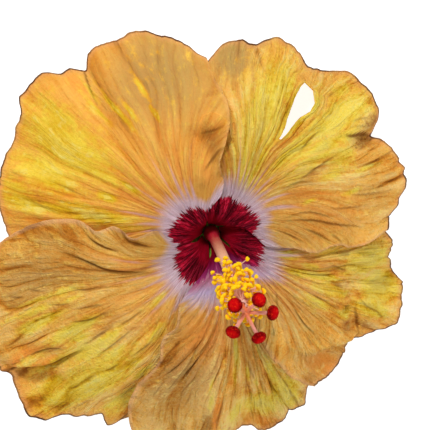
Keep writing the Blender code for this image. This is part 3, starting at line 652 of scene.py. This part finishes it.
def petal_surface(name, petal, number):
    """Points and colour masks of a petal on a grid of side and along."""
    side = np.linspace(-1, 1, COLUMNS + 1)[:, None] * np.ones((1, ROWS + 1))
    along = np.linspace(0, 1, ROWS + 1) ** ROW_CROWDING * np.ones((COLUMNS + 1, 1))
    edge_radii, edge_bearings = zip(*petal["edge"])
    rim_bearings, rim_radii = zip(*petal["rim"])
    share = (side + 1) / 2
    tip_bearing = edge_bearings[-1] + share * (rim_bearings[-1] - edge_bearings[-1])
    tip_radius = np.interp(tip_bearing, rim_bearings, rim_radii)
    tip_radius = tip_radius + 0.35 * noise(side * 22, number * 3.7, 1)
    tip_radius = tip_radius + 0.12 * noise(side * 60, number * 2.3, 2)
    tip_length = np.interp(tip_radius / reach(tip_bearing), PROFILE_RADII, PROFILE_LENGTHS)
    radius, height, out, up = profile_point(along * tip_length)

    blade = np.clip((radius - BLADE_START) / (edge_radii[-1] - BLADE_START), 0, 1)
    straight = edge_bearings[0] + blade * (edge_bearings[-1] - edge_bearings[0])
    wiggle = smooth_curve(edge_radii, edge_bearings, np.clip(radius, BLADE_START, edge_radii[-1])) - straight
    near_edge = np.exp(-(side + 1) / 0.1)
    bearing = straight + share * (petal["hidden"] - straight) + wiggle * near_edge
    half_degrees = (petal["hidden"] - straight) / 2
    claw_half = CLAW_SPREAD + CLAW_FLARE * smoothstep(5.5, 9.5, radius)
    if name == "petal_bottom":
        claw_half = claw_half + 3 * smoothstep(-0.2, -1, side)
    claw_bearing = petal["claw"] + side * claw_half
    sweep = smoothstep(7.5, 19, radius)
    bearing = claw_bearing + (bearing - claw_bearing) * sweep
    half_degrees = claw_half + (half_degrees - claw_half) * sweep
    half_width = np.radians(half_degrees) * radius
    if name in BOWS:
        bow, start, full, fade = BOWS[name]
        bowed = smoothstep(start, full, share) * (1 - smoothstep(full, fade, share))
        bearing = bearing + 6.75 * bow * bowed * along * (1 - along) ** 2
    split_column = None
    if name == "petal_upper_right":
        bearing, split_column = open_split(side, radius, bearing)

    radius = radius * (1 + (reach(bearing) - 1) * smoothstep(30, 70, radius))
    lift = shared_height(radius, bearing)
    lift = lift - LAP * np.tanh(2.2 * side) * smoothstep(4.2, 8.5, radius)
    curl = 0.5 + 0.5 * np.sin(radius * 0.5 + petal["claw"])
    lift = lift + EDGE_CURL * curl * near_edge * smoothstep(20, 40, radius)
    middle = 1 - smoothstep(0.35, 0.62, np.abs(side))
    rim_share = smoothstep(0.72, 1, along)
    lift = lift + 1.6 * np.sin(side * 11 + petal["claw"]) * middle * rim_share

    fan = 0.45 + 0.55 * smoothstep(6, 62, radius)
    turn = side * half_degrees / fan
    seed = number * 7.3
    veins = vein_paths(random.Random(40 + number))
    lines, rays = vein_masks(veins, side / fan, along, half_width * fan, radius)
    detail, valley_shade_crest_light, painted_crease_shade, bent = wrinkle_relief(
        petal["crumple"], seed, side, along, radius, half_degrees, turn
    )
    lift = lift + detail - 0.14 * lines * smoothstep(8, 16, radius)
    angle = np.radians(bearing)
    seen_radius = radius + lift * out
    crease_height, crease_shadow = crease_relief(
        CREASES[name], seen_radius * np.cos(angle), seen_radius * np.sin(angle)
    )
    lift = lift + crease_height
    above = (height + lift * up - REST_HEIGHT) / REST_SOFTNESS
    height = REST_HEIGHT + REST_SOFTNESS * np.logaddexp(0, above)
    x = (radius + lift * out) * np.cos(angle)
    y = (radius + lift * out) * np.sin(angle)

    round_bearing = (bearing + 9) % 360 - 9
    past_eye = radius - smooth_curve(*zip(*EYE), round_bearing)
    wash = np.full(side.shape, 1.0 if name == "petal_bottom" else 0.0)
    if name == "petal_lower_right":
        wash = 1 - smoothstep(312, 342, bearing)
    grid = x, y, side, half_width, radius
    shades = patches(SHADES[name], *grid)
    layer = np.full(side.shape, seed * 5.0)
    masks = {
        "crisp": (1.9 * petal["crumple"] - 0.3) * (1 - 0.4 * np.clip(shades, 0, 1)),
        "vein": lines,
        "ray": rays,
        "yellow": patches(YELLOW[name], *grid),
        "shade": shades,
        "glow": patches(GLOW[name], *grid),
        "past_eye": past_eye,
        "halo": past_eye / smooth_curve(*zip(*HALO), round_bearing),
        "throat": radius,
        "rim_gap": (1 - along) * tip_length,
        "lip": petal["lip"] * (1 - smoothstep(0.2, 0.9, (side + 1) * half_width)),
        "painted_crease_shade": np.maximum(painted_crease_shade, crease_shadow),
        "valley_shade_crest_light": valley_shade_crest_light,
        "wash": wash,
        "flow": np.stack((bent, radius, layer), axis=-1),
        "spoke": np.stack((bearing, radius, layer), axis=-1),
    }
    return np.stack((x, y, height), axis=-1), masks, split_column


def grid_faces(rows, columns):
    """Faces of four corners between all points of a grid."""
    index = np.arange((rows + 1) * (columns + 1)).reshape(rows + 1, columns + 1)
    return np.stack((index[:-1, :-1], index[:-1, 1:], index[1:, 1:], index[1:, :-1]), axis=-1)


def petal_mesh(name, petal, number):
    """The petal's middle surface as a mesh that carries its colour masks."""
    points, masks, split_column = petal_surface(name, petal, number)
    keep = np.ones((COLUMNS, ROWS), bool)
    if split_column is not None:
        radii = masks["throat"][split_column]
        inside = (radii > SPLIT[0][0] + 0.5) & (radii < SPLIT[-1][0])
        keep[split_column, :] = ~(inside[:-1] & inside[1:])
    faces = np.roll(grid_faces(COLUMNS, ROWS), -1, axis=-1)[keep]
    mesh = bpy.data.meshes.new(name)
    mesh.vertices.add(points.size // 3)
    mesh.vertices.foreach_set("co", (points * MM).ravel())
    mesh.loops.add(faces.size)
    mesh.loops.foreach_set("vertex_index", faces.ravel().astype(np.int32))
    mesh.polygons.add(len(faces))
    mesh.polygons.foreach_set("loop_start", np.arange(0, faces.size, 4, dtype=np.int32))
    mesh.polygons.foreach_set("use_smooth", np.ones(len(faces), bool))
    mesh.update(calc_edges=True)
    for key, values in masks.items():
        kind, field = ("FLOAT", "value") if values.ndim == 2 else ("FLOAT_VECTOR", "vector")
        layer = mesh.attributes.new(key, kind, "POINT")
        layer.data.foreach_set(field, values.ravel().astype(np.float32))
    return mesh


def colour(code):
    """A linear colour from a hex code."""
    values = [int(code[i : i + 2], 16) / 255 for i in (0, 2, 4)]
    linear = [v / 12.92 if v <= 0.04045 else ((v + 0.055) / 1.055) ** 2.4 for v in values]
    return (*linear, 1)


class Shader:
    """A material's node tree, built by short calls. Colours are hex codes."""

    def __init__(self, name):
        self.material = bpy.data.materials.new(name)
        self.material.use_nodes = True
        self.tree = self.material.node_tree
        self.surface = self.tree.nodes["Principled BSDF"]

    def put(self, value, socket):
        if isinstance(value, bpy.types.NodeSocket):
            self.tree.links.new(value, socket)
        else:
            socket.default_value = colour(value) if isinstance(value, str) else value

    def node(self, kind, output, inputs, **settings):
        """One output of a new node with these inputs and settings."""
        made = self.tree.nodes.new("ShaderNode" + kind)
        for key, value in settings.items():
            setattr(made, key, value)
        for key, value in inputs.items():
            self.put(value, made.inputs[key])
        return made.outputs[output]

    def attribute(self, name, output="Fac"):
        return self.node("Attribute", output, {}, attribute_name=name)

    def math(self, operation, *values):
        return self.node("Math", 0, dict(enumerate(values)), operation=operation)

    def weigh(self, total, *terms):
        """A number plus the sum of value and weight pairs."""
        for value, weight in terms:
            total = self.math("MULTIPLY_ADD", value, weight, total)
        return total

    def stretch(self, vector, x, y, z):
        return self.node("VectorMath", 0, {0: vector, 1: (x, y, z)}, operation="MULTIPLY")

    def place(self):
        """The place on the object in millimetres."""
        return self.stretch(self.node("TexCoord", "Object", {}), 1000, 1000, 1000)

    def noise(self, vector, scale, detail, roughness):
        """Noise at one scale, or drawn out by a scale for each axis."""
        if isinstance(scale, tuple):
            vector = self.stretch(vector, *scale)
            scale = 1
        inputs = {"Vector": vector, "Scale": scale, "Detail": detail, "Roughness": roughness}
        return self.node("TexNoise", "Fac", inputs)

    def cells(self, vector, scale):
        return self.node("TexVoronoi", "Distance", {"Vector": vector, "Scale": scale})

    def step(self, value, low, high, to_low=0, to_high=1):
        """Runs smoothly from to_low, where the value is low, to to_high."""
        inputs = {"Value": value, "From Min": low, "From Max": high, "To Min": to_low, "To Max": to_high}
        return self.node("MapRange", "Result", inputs, interpolation_type="SMOOTHSTEP")

    def mix(self, share, first, second, blend="MIX"):
        """Two colours mixed. A mix node has them at sockets 6 and 7."""
        inputs = {0: share, 6: first, 7: second}
        return self.node("Mix", 2, inputs, data_type="RGBA", blend_type=blend)

    def tint(self, base, *layers):
        """The base with colours laid over it, each as its value goes from low to high."""
        for value, low, high, most, *colour_and_blend in layers:
            base = self.mix(self.step(value, low, high, 0, most), base, *colour_and_blend)
        return base

    def ramp(self, value, *stops):
        node = self.tree.nodes.new("ShaderNodeValToRGB")
        self.put(value, node.inputs["Fac"])
        marks = node.color_ramp.elements
        while len(marks) < len(stops):
            marks.new(0.5)
        for mark, (place, code) in zip(marks, stops):
            mark.position = place
            mark.color = colour(code)
        return node.outputs["Color"]

    def finish(self, base, roughness, bump=None, specular=0.5, soft=None, **rest):
        """The material. bump: relief, strength, metres. soft: weight, radius, metres."""
        looks = {"Base Color": base, "Roughness": roughness, "Specular IOR Level": specular}
        if bump:
            inputs = dict(zip(("Height", "Strength", "Distance"), bump))
            looks["Normal"] = self.node("Bump", "Normal", inputs)
        if soft:
            sockets = "Subsurface Weight", "Subsurface Radius", "Subsurface Scale"
            looks.update(zip(sockets, soft))
        for key, value in rest.items():
            looks[key.replace("_", " ").title()] = value
        for key, value in looks.items():
            self.put(value, self.surface.inputs[key])
        return self.material


def petal_material(name, under):
    """The petal's upper side, or its paler underside."""
    make = Shader(name)
    flow = make.attribute("flow", "Vector")
    spoke = make.attribute("spoke", "Vector")
    names = "yellow", "shade", "wash", "crisp", "past_eye", "throat", "rim_gap"
    yellow, shade, wash, crisp, past_eye, throat, rim_gap = map(make.attribute, names)
    place = make.place()

    broad = make.noise(flow, (0.1, 0.045, 1), 2, 0.5)
    streak = make.noise(flow, (0.33, 0.05, 1), 3, 0.6)
    thread = make.noise(flow, (1, 0.1, 1), 3, 0.6)
    fleck = make.noise(flow, (0.5, 0.22, 1), 3, 0.65)
    grain = make.noise(place, 1.1, 3, 0.6)
    mosaic = make.noise(place, 0.45, 3, 0.65)

    lined = make.weigh(-1.08, (streak, 0.85), (broad, 0.6), (thread, 0.7))
    lined = make.math("MULTIPLY", lined, make.step(shade, 0, 1, 1, 0.4))
    texture = make.weigh(-0.24, (lined, 0.8), (mosaic, 0.4), (grain, 0.4))
    # The tone takes painted shade in wrinkle valleys and painted light on crests; the last crisp term lifts
    # it on more wrinkled petals, painted light that offsets the shade of their bumps.
    tone = make.weigh(0.4, (texture, crisp), (make.attribute("valley_shade_crest_light"), -0.36), (crisp, 0.06))
    base = make.ramp(tone, (0, "A85C0C"), (0.35, "E4942E"), (0.68, "F8BC58"), (1, "FFD07A"))
    mottle = make.weigh(-1.1, (streak, 0.6), (fleck, 0.9), (mosaic, 0.7))
    gold = make.ramp(tone, (0, "A67606"), (0.35, "DCB01A"), (0.68, "F2D448"), (1, "F9E064"))
    gold = make.tint(
        gold,
        (make.weigh(yellow, (mottle, 0.8)), 0.95, 1.35, 0.75, "EAD462"),
        (make.weigh(fleck, (streak, 0.8)), 0.98, 1.12, 0.45, "ECDC7C"),
    )
    gold_share = make.weigh(yellow, (mottle, 1.2))
    amber = make.ramp(tone, (0, "AA660A"), (0.35, "E09C20"), (0.68, "F8C64C"), (1, "FFDC80"))
    base = make.tint(
        base,
        (shade, 0, 1, 0.75, "AC8F54"),
        # browner patches, partly painted shadow under flaps, folds and ledges
        (shade, 0, -1.2, 0.9, "A0877C", "MULTIPLY"),
        (mosaic, 0.5, 0.64, 0.16, "B7A04E"),
        # bright orange patches, partly painted highlight on raised fold ridges and flaps
        (make.attribute("glow"), 0.1, 1.1, 0.95, "FA9C3C"),
        (throat, 52, 20, 0.25, "F6B464"),
        (gold_share, 0, 0.45, 0.85, amber),
        (gold_share, 0.25, 0.9, 0.95, gold),
    )
    veined = make.math("MULTIPLY", make.attribute("vein"), make.step(throat, 18, 66, 0.6, 0.12))
    base = make.mix(veined, base, "DD8038")

    base = make.tint(base, (rim_gap, 3.4, 0.5, 0.55, "E8A468"))
    base = make.mix(make.attribute("lip"), base, "F0B880")
    outline = make.math("MULTIPLY", make.step(rim_gap, 1.05, 0.45), make.step(broad, 0.4, 0.6, 0.5, 0.95))
    base = make.mix(outline, base, "54301E")
    # Painted shade along the creases and painted shadow below the ledges.
    base = make.tint(base, (make.attribute("painted_crease_shade"), 0.1, 1.3, 0.85, "74400E"))

    halo = make.math("MULTIPLY", make.attribute("halo"), make.step(streak, 0.3, 0.7, 1.2, 0.82))
    halo = make.math("ADD", halo, make.step(thread, 0.3, 0.7, -0.07, 0.07))
    halo = make.step(halo, 0.45, 1.4, 0.92, 0)
    short = make.step(wash, 0, 1, 1, 0.6)
    far = make.math("MULTIPLY", make.step(broad, 0.35, 0.65, 10, 28), short)
    ray = make.step(make.math("DIVIDE", past_eye, far), 0.1, 1, 0.8, 0)
    halo = make.math("MAXIMUM", halo, make.math("MULTIPLY", ray, make.attribute("ray")))
    lavender = make.mix(make.step(thread, 0.38, 0.66), "DCB6C4", "FAE6F6")
    washed = make.mix(make.step(past_eye, 1, 6), "CC4488", "DCC8F8")
    lavender = make.mix(make.math("MULTIPLY", wash, 0.75), lavender, washed)
    lavender = make.tint(lavender, (make.cells(place, 1), 0.24, 0.1, 0.6, "F0E8EE"))
    base = make.mix(halo, base, lavender)

    barb = make.math("SUBTRACT", make.noise(spoke, (0.2, 0.02, 1), 1, 0.5), 0.5)
    barb = make.math("ABSOLUTE", barb)
    spike = make.noise(spoke, (0.62, 0.07, 1), 3, 0.8)
    edge = make.weigh(make.math("ADD", past_eye, 3.6), (barb, 9), (spike, -9))
    plume = make.noise(spoke, (0.16, 0.11, 1), 4, 0.75)
    highlight_stroke = make.math("SUBTRACT", make.noise(spoke, (0.55, 0.06, 2), 2, 0.6), 0.5)
    highlight_stroke = make.math("ABSOLUTE", highlight_stroke)
    crimson = make.mix(make.step(plume, 0.45, 0.62), "4C000A", "E80834")
    # Painted highlights: thin pink strokes and brighter plume streaks on the crimson eye.
    crimson = make.tint(
        crimson,
        (highlight_stroke, 0.06, 0, 0.7, "D82C4C"),
        (plume, 0.56, 0.64, 0.7, "F43C60"),
        # Painted light: a brighter crimson deep in the throat offsets the shade there.
        (throat, 11, 6, 0.9, "D0082C"),
    )
    washed = make.mix(make.step(past_eye, -4, 1), "A01050", "C8468C")
    crimson = make.mix(make.math("MULTIPLY", wash, make.step(past_eye, -6, -2)), crimson, washed)
    base = make.tint(base, (edge, 0.3, -0.3, 1, crimson))
    if under:
        base = make.mix(0.35, base, "D8B070")
    relief = make.weigh(0, (thread, 2.1), (grain, 0.9), (mosaic, 0.8))
    relief = make.math("MULTIPLY", relief, crisp)
    return make.finish(base, 0.6, (relief, 0.9, 0.0007), 0.05, (0.06, (1, 0.45, 0.15), 0.001))


def new_object(name, data):
    made = bpy.data.objects.new(name, data)
    bpy.context.scene.collection.objects.link(made)
    return made


def finish_piece(mesh, materials, node, thickness=None):
    """A piece of the bloom that stands for its node, with a thickness where it is a sheet."""
    piece = new_object(node + "_fine", mesh)
    piece.location = Vector(FLOWER_AXIS) * MM
    for material in materials:
        mesh.materials.append(material)
    if thickness:
        thicken = piece.modifiers.new("thickness", "SOLIDIFY")
        thicken.thickness = thickness * MM
        thicken.offset = 0
        thicken.material_offset = len(materials) - 1
    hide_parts(node)
    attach(piece, "root")


def make_petals():
    sides = petal_material("petal_upper_side", False), petal_material("petal_underside", True)
    for number, (name, petal) in enumerate(PETALS.items()):
        finish_piece(petal_mesh(name, petal, number), sides, name, BLADE_THICKNESS)


def ring_faces(rows, sides, closed=True):
    """Faces between rings of points, and over the first and last ring of a closed form."""
    faces = []
    for low in range(0, rows * sides, sides):
        for i in range(sides):
            j = (i + 1) % sides
            faces.append((low + i, low + j, low + sides + j, low + sides + i))
    if closed:
        faces.append(tuple(range(sides - 1, -1, -1)))
        faces.append(tuple(range(rows * sides, (rows + 1) * sides)))
    return faces


def lean_offset(height):
    """How far the column leans from the axis at a height."""
    share = max(0, (height - LEAN_START) / (LEAN_END - LEAN_START))
    return Vector((LEAN[0] * share, LEAN[1] * share**1.25, 0))


class Build:
    """Collects vertices and faces of one mesh with its tones and materials."""

    def __init__(self):
        self.points = []
        self.faces = []
        self.slots = []
        self.tones = []

    def add(self, points, faces, tones, slot=0):
        start = len(self.points)
        self.points.extend(points)
        self.tones.extend(tones)
        self.faces.extend([tuple(start + i for i in face) for face in faces])
        self.slots.extend([slot] * len(faces))

    def mesh(self, name):
        mesh = bpy.data.meshes.new(name)
        mesh.from_pydata([tuple(c * MM for c in p) for p in self.points], [], self.faces)
        mesh.polygons.foreach_set("material_index", self.slots)
        mesh.polygons.foreach_set("use_smooth", [True] * len(self.faces))
        layer = mesh.attributes.new("tone", "FLOAT", "POINT")
        layer.data.foreach_set("value", self.tones)
        mesh.update()
        return mesh

    def turned(self, profile, sides, tone, shape=lambda angle, height: 1):
        """A profile of radius and height turned round the leaning axis."""
        points = []
        for radius, height in profile:
            lean = lean_offset(height)
            for i in range(sides):
                angle = math.tau * i / sides
                wide = radius * shape(angle, height)
                points.append((wide * math.cos(angle) + lean.x, wide * math.sin(angle) + lean.y, height))
        tones = [tone(point[2]) for point in points]
        self.add(points, ring_faces(len(profile) - 1, sides), tones)

    def bent_tube(self, start, middle, end, sides, radii, tones):
        """A tube that bends towards a middle point, with its radii and tones along it."""
        steps = len(radii) - 1
        shares = [i / steps for i in range(steps + 1)]
        path = [start * (1 - t) ** 2 + middle * 2 * t * (1 - t) + end * t * t for t in shares]
        points = []
        for i, place in enumerate(path):
            ahead = path[min(i + 1, steps)] - path[max(i - 1, 0)]
            turn = ahead.to_track_quat("Z", "Y")
            for k in range(sides):
                angle = math.tau * k / sides
                offset = turn @ Vector((math.cos(angle), math.sin(angle), 0))
                points.append(tuple(place + offset * radii[i]))
        self.add(points, ring_faces(steps, sides), [tone for tone in tones for _ in range(sides)])


def finer(profile, step):
    """The same profile with points no more than a step apart."""
    points = [profile[0]]
    for (r0, z0), (r1, z1) in zip(profile, profile[1:]):
        count = max(1, math.ceil(math.dist((r0, z0), (r1, z1)) / step))
        for i in range(1, count + 1):
            share = i / count
            points.append((r0 + (r1 - r0) * share, z0 + (z1 - z0) * share))
    return points


def sphere_points(detail):
    """Unit sphere of triangles: points and faces."""
    shape = bmesh.new()
    bmesh.ops.create_icosphere(shape, subdivisions=detail, radius=1)
    points = [v.co.copy() for v in shape.verts]
    faces = [tuple(v.index for v in f.verts) for f in shape.faces]
    shape.free()
    return points, faces


def column_material():
    make = Shader("column_skin")
    lines = make.noise(make.place(), (2.2, 2.2, 0.12), 2, 0.5)
    tone = make.math("ADD", make.attribute("tone"), make.step(lines, 0.3, 0.7, -0.02, 0.02))
    reds = (0, "C00A2C"), (0.27, "C81834"), (0.37, "D07A5E")
    creams = (0.5, "EEB28E"), (0.75, "F2BCA0"), (1, "F0BCAC")
    base = make.tint(make.ramp(tone, *reds, *creams), (lines, 0.5, 0.75, 0.35, "D8886E"))
    return make.finish(base, 0.45, (lines, 0.4, 0.0002), soft=(0.15, (1, 0.4, 0.25), 0.0012))


def anther_material():
    make = Shader("anther_pollen")
    grains = make.cells(make.place(), 6)
    # Deeper orange at low tone is painted shade in the groove and on the side towards the filament.
    base = make.mix(make.step(make.attribute("tone"), 0.15, 0.85), "FFA400", "FFCE14")
    base = make.tint(base, (grains, 0.5, 0.2, 0.35, "FFCC28"))
    return make.finish(base, 0.75, (grains, 0.4, 0.0002), 0.08)


def add_anther(build, sphere, end, out, rng):
    """A bent, grooved anther across the end of its filament."""
    points, faces = sphere
    size = ANTHER_LENGTH * rng.uniform(0.8, 1.1) / 2
    spin = Matrix.Rotation(rng.uniform(0, math.tau), 3, out)
    turn = spin @ out.to_track_quat("X", "Z").to_matrix()
    placed = []
    tones = []
    for point in points:
        groove = 1 - 0.35 * math.exp(-((point.y / 0.3) ** 2)) * max(0, point.x)
        grain = 1 + rng.uniform(-0.035, 0.035)
        x = point.x * 0.74 * groove * grain - 0.45 * (point.z**2 - 0.4)
        local = Vector((x, point.y * 0.8 * grain, point.z * 1.2 * grain))
        placed.append(tuple(end + turn @ local * size))
        # Painted shade: the tone is darker in the groove and on the side towards the filament.
        tones.append(0.5 + 0.5 * groove * point.x + rng.uniform(-0.1, 0.1))
    build.add(placed, faces, tones, 1)


def make_column():
    """The tube round the style with its filaments and anthers."""
    build = Build()
    build.turned(
        finer(TUBE_PROFILE, 1.2),
        44,
        lambda height: height / 70,
        lambda angle, height: 1 + 0.025 * math.cos(5 * angle + height * 0.03),
    )
    radii = [FILAMENT_RADIUS * (1.25 - 0.035 * i) for i in range(11)]
    tones = [0.62 + 0.03 * i for i in range(11)]
    sphere = sphere_points(3)
    small_sphere = sphere_points(2)
    rng = random.Random(7)
    shape_rng = random.Random(8)
    for number in range(ANTHER_COUNT + LATE_ANTHERS):
        late = number - ANTHER_COUNT
        share = ((number + 0.5) / ANTHER_COUNT) ** 0.62
        if late >= 0:
            share = 0.22 + 0.78 * late / LATE_ANTHERS
        height = FIRST_ANTHER + (LAST_ANTHER - FIRST_ANTHER) * share
        angle = math.radians(137.5 * number + rng.uniform(-12, 12))
        out = Vector((math.cos(angle), math.sin(angle), 0))
        root = lean_offset(height) + out * 1.35 + Vector((0, 0, height))
        length = rng.uniform(4.8, 7.8) * (1 - 0.12 * share)
        rise = rng.uniform(0.8, 3.2)
        if late >= 0:
            length = shape_rng.uniform(1.6, 5.6)
        end = root + out * length + Vector((0, 0, rise))
        # The solid draws a size and a turn here too, so both are drawn and left.
        rng.uniform(0.9, 1.1)
        rng.uniform(0, math.tau)
        middle = (root + end) / 2 + Vector((0, 0, shape_rng.uniform(-0.7, 0.5)))
        build.bent_tube(root, middle, end, 7, radii, tones)
        kind = small_sphere if late >= 0 else sphere
        add_anther(build, kind, end, (end - middle).normalized(), shape_rng)
    materials = column_material(), anther_material()
    finish_piece(build.mesh("staminal_column_fine"), materials, "staminal_column")


def style_material():
    make = Shader("style_skin")
    grain = make.noise(make.place(), 2.5, 3, 0.6)
    tone = make.math("ADD", make.attribute("tone"), make.step(grain, 0.3, 0.7, -0.06, 0.06))
    base = make.ramp(tone, (0, "E8733A"), (0.25, "E27C56"), (0.6, "E4927C"), (1, "E08C7C"))
    return make.finish(base, 0.5, (grain, 0.5, 0.0002), soft=(0.15, (1, 0.4, 0.25), 0.001))


def pad_material():
    make = Shader("stigma_velvet")
    grain = make.noise(make.place(), 1.3, 3, 0.7)
    # Darker red at low tone is painted shade at the pad's rim and underside.
    base = make.mix(make.step(make.attribute("tone"), 0.25, 0.9), "800004", "CC040A")
    # Painted highlights: orange-red flecks where the grain noise is high.
    base = make.tint(base, (grain, 0.5, 0.72, 0.8, "F03414"))
    return make.finish(base, 0.8, (grain, 0.7, 0.0003), 0.04)


def add_pad(build, sphere, centre, outward, rng):
    """A flattened velvety pad covered in short papillae."""
    points, faces = sphere
    turn = outward.to_track_quat("Z", "Y").to_matrix()
    half = PAD_SIZE / 2
    stretch = Vector((half, half, half * PAD_FLATNESS))
    placed = []
    tones = []
    for point in points:
        lump = 1 + 0.05 * math.sin(7 * point.x + centre.x) * math.cos(6 * point.y + centre.y)
        lump = lump + rng.uniform(-0.012, 0.012)
        placed.append(tuple(centre + turn @ (point * stretch * lump)))
        # Painted shade: the tone is lightest on top and falls to nothing at the rim and underside.
        tones.append(max(0, point.z))
    build.add(placed, faces, tones, 1)
    for number in range(PAPILLAE):
        up = 1 - 1.75 * (number + 0.5) / PAPILLAE
        ring = math.sqrt(1 - up * up)
        angle = math.radians(137.508 * number)
        unit = Vector((ring * math.cos(angle), ring * math.sin(angle), up))
        foot = unit * stretch
        normal = (unit * Vector([1 / size for size in stretch])).normalized()
        tip = foot + (normal + Vector([rng.uniform(-0.3, 0.3) for _ in range(3)])) * 0.3
        across = normal.orthogonal().normalized() * 0.085
        corners = [Matrix.Rotation(math.radians(120 * k), 3, normal) @ across + foot for k in range(3)]
        spots = [tuple(centre + turn @ corner) for corner in (*corners, tip)]
        # Painted light: papillae on the upper half carry a lighter tone.
        shine = max(0, up)
        build.add(spots, [(0, 1, 3), (1, 2, 3), (2, 0, 3)], [shine] * 3 + [shine * 0.9 + 0.1], 1)


def make_pistil():
    """Style, five branches and their velvety pads."""
    build = Build()
    build.turned(finer(PISTIL_PROFILE, 1.5), 24, lambda height: 0.7 if height < 70 else 0.1)
    hub = lean_offset(HUB_HEIGHT) + Vector((0, 0, HUB_HEIGHT))
    shares = [i / 16 for i in range(17)]
    radii = [BRANCH_RADIUS * (1.1 - 0.3 * math.sin(math.pi * share)) for share in shares]
    sphere = sphere_points(4)
    rng = random.Random(21)
    for x, y, rise in PADS:
        end = hub + Vector((x, y, rise))
        bend = hub + Vector((x * 0.5, y * 0.5, rise * 0.85))
        build.bent_tube(hub, bend, end, 16, radii, shares)
        add_pad(build, sphere, end, Vector((x, y, rise + 5)).normalized(), rng)
    finish_piece(build.mesh("pistil_fine"), (style_material(), pad_material()), "pistil")


def green_material(name, dark, light, vein):
    make = Shader(name)
    place = make.place()
    blotch = make.noise(place, 0.5, 3, 0.6)
    grain = make.noise(place, 4, 2, 0.6)
    base = make.mix(make.step(blotch, 0.35, 0.65), dark, light)
    base = make.tint(base, (make.attribute("tone"), 0.4, 1, 0.7, vein))
    soft = 0.08, (0.5, 1, 0.2), 0.001
    return make.finish(
        base, 0.55, (grain, 0.6, 0.0003), soft=soft, sheen_weight=0.15, sheen_roughness=0.4
    )


def make_calyx():
    """A green cup whose five lobes stand behind the gaps between petals."""
    row_share = np.arange(CALYX_ROWS + 1)[:, None] / CALYX_ROWS
    angle = math.tau * np.arange(CALYX_SIDES) / CALYX_SIDES
    lobe = 0.5 + 0.5 * np.cos(5 * (angle - math.radians(116)))
    lengths = path_lengths(CALYX_PATH)
    share = (CALYX_TUBE_SHARE + (1 - CALYX_TUBE_SHARE) * lobe**0.8) * row_share
    radius, height = (smooth_curve(lengths, row, lengths[-1] * share) for row in zip(*CALYX_PATH))
    rib = np.maximum.reduce((lobe**24, (1 - lobe) ** 24, np.cos(15 * angle) ** 16 * 0.5))
    radius = radius + 0.12 * rib
    points = np.stack((radius * np.cos(angle), radius * np.sin(angle), height), axis=-1)
    tones = np.broadcast_to(rib, radius.shape).ravel()
    build = Build()
    build.add(points.reshape(-1, 3), ring_faces(CALYX_ROWS, CALYX_SIDES, False), tones)
    green = green_material("calyx_skin", "5E9822", "8ECA38", "B0D860")
    finish_piece(build.mesh("calyx_fine"), (green,), "calyx", CALYX_THICKNESS)


def make_stem():
    """The cut stalk, its receptacle and the ring of narrow bracts."""
    build = Build()
    build.turned(
        finer(STEM_PROFILE[1:-1], 0.4),
        40,
        lambda height: 0.9 if height < 0.05 else 0.2,
        lambda angle, height: 1 + 0.03 * math.cos(9 * angle),
    )
    share = np.arange(BRACT_ROWS + 1)[:, None] / BRACT_ROWS * np.ones((1, BRACT_COLUMNS + 1))
    across = 2 * np.arange(BRACT_COLUMNS + 1) / BRACT_COLUMNS - 1
    steps = range(len(BRACT_PATH))
    radius, height = (smooth_curve(steps, row, share * steps[-1]) for row in zip(*BRACT_PATH))
    width = 0.6 * (1 - share) + 0.2 + 0.7 * np.sin(np.pi * share**0.8)
    height = height + 0.15 * across**2
    tones = np.broadcast_to(np.exp(-((across / 0.2) ** 2)), share.shape).ravel()
    faces = grid_faces(BRACT_ROWS, BRACT_COLUMNS).reshape(-1, 4)
    for number in range(BRACT_COUNT):
        turn = Matrix.Rotation(math.tau * (number + 0.3) / BRACT_COUNT, 3, "Z")
        for level in (-1, 1):
            thin = BRACT_THICKNESS / 2 * level * np.sqrt(1 - across**2)
            points = np.stack((radius - thin * 0.5, across * width, height + thin), axis=-1)
            placed = [tuple(turn @ Vector(point)) for point in points.reshape(-1, 3)]
            build.add(placed, faces[:, ::level].tolist(), tones)
    green = green_material("stalk_skin", "35601C", "5E8A30", "A8C070")
    finish_piece(build.mesh("stem_fine"), (green,), "stem")


def make_camera():
    data = bpy.data.cameras.new("camera")
    data.sensor_width = SENSOR
    data.lens = SENSOR * FOCAL_PIXELS / PICTURE
    data.clip_start = 0.01
    camera = new_object("camera", data)
    forward = -TO_CAMERA
    right = forward.cross(Vector((0, 1, 0))).normalized()
    above = right.cross(forward)
    turn = Matrix((right, above, -forward)).transposed().to_4x4()
    place = (Vector(CAMERA_PLACE) + Vector(FLOWER_AXIS)) * MM
    camera.matrix_world = Matrix.Translation(place) @ turn
    bpy.context.scene.camera = camera


def make_light(name, place, size, power):
    data = bpy.data.lights.new(name, "AREA")
    data.shape = "DISK"
    data.size = size
    data.energy = power
    light = new_object(name, data)
    light.location = place
    light.rotation_euler = (LIGHT_TARGET - Vector(place)).to_track_quat("-Z", "Y").to_euler()


def make_studio():
    floor_mesh = bpy.data.meshes.new("floor")
    corners = [(x, y, 0) for x, y in ((-3, -3), (3, -3), (3, 3), (-3, 3))]
    floor_mesh.from_pydata(corners, [], [(0, 1, 2, 3)])
    floor = new_object("floor", floor_mesh)
    floor.location = (0, 0, -0.0002)
    grey = (0.45, 0.45, 0.45, 1)
    white = (1, 1, 1, 1)
    looks = {"specular": 0.1, "emission_color": white, "emission_strength": 0.84}
    floor_mesh.materials.append(Shader("floor").finish(grey, 0.9, **looks))

    world = bpy.data.worlds.new("studio")
    world.use_nodes = True
    background = world.node_tree.nodes["Background"]
    background.inputs["Color"].default_value = white
    background.inputs["Strength"].default_value = 0.4
    bpy.context.scene.world = world
    bpy.context.scene.view_settings.view_transform = "Standard"
    make_light("key", (-0.24, 0.66, 0.74), 0.16, 6.2)
    make_light("fill", (0.55, -0.48, 0.66), 0.7, 3.4)


make_camera()
make_studio()
make_petals()
make_column()
make_pistil()
make_calyx()
make_stem()
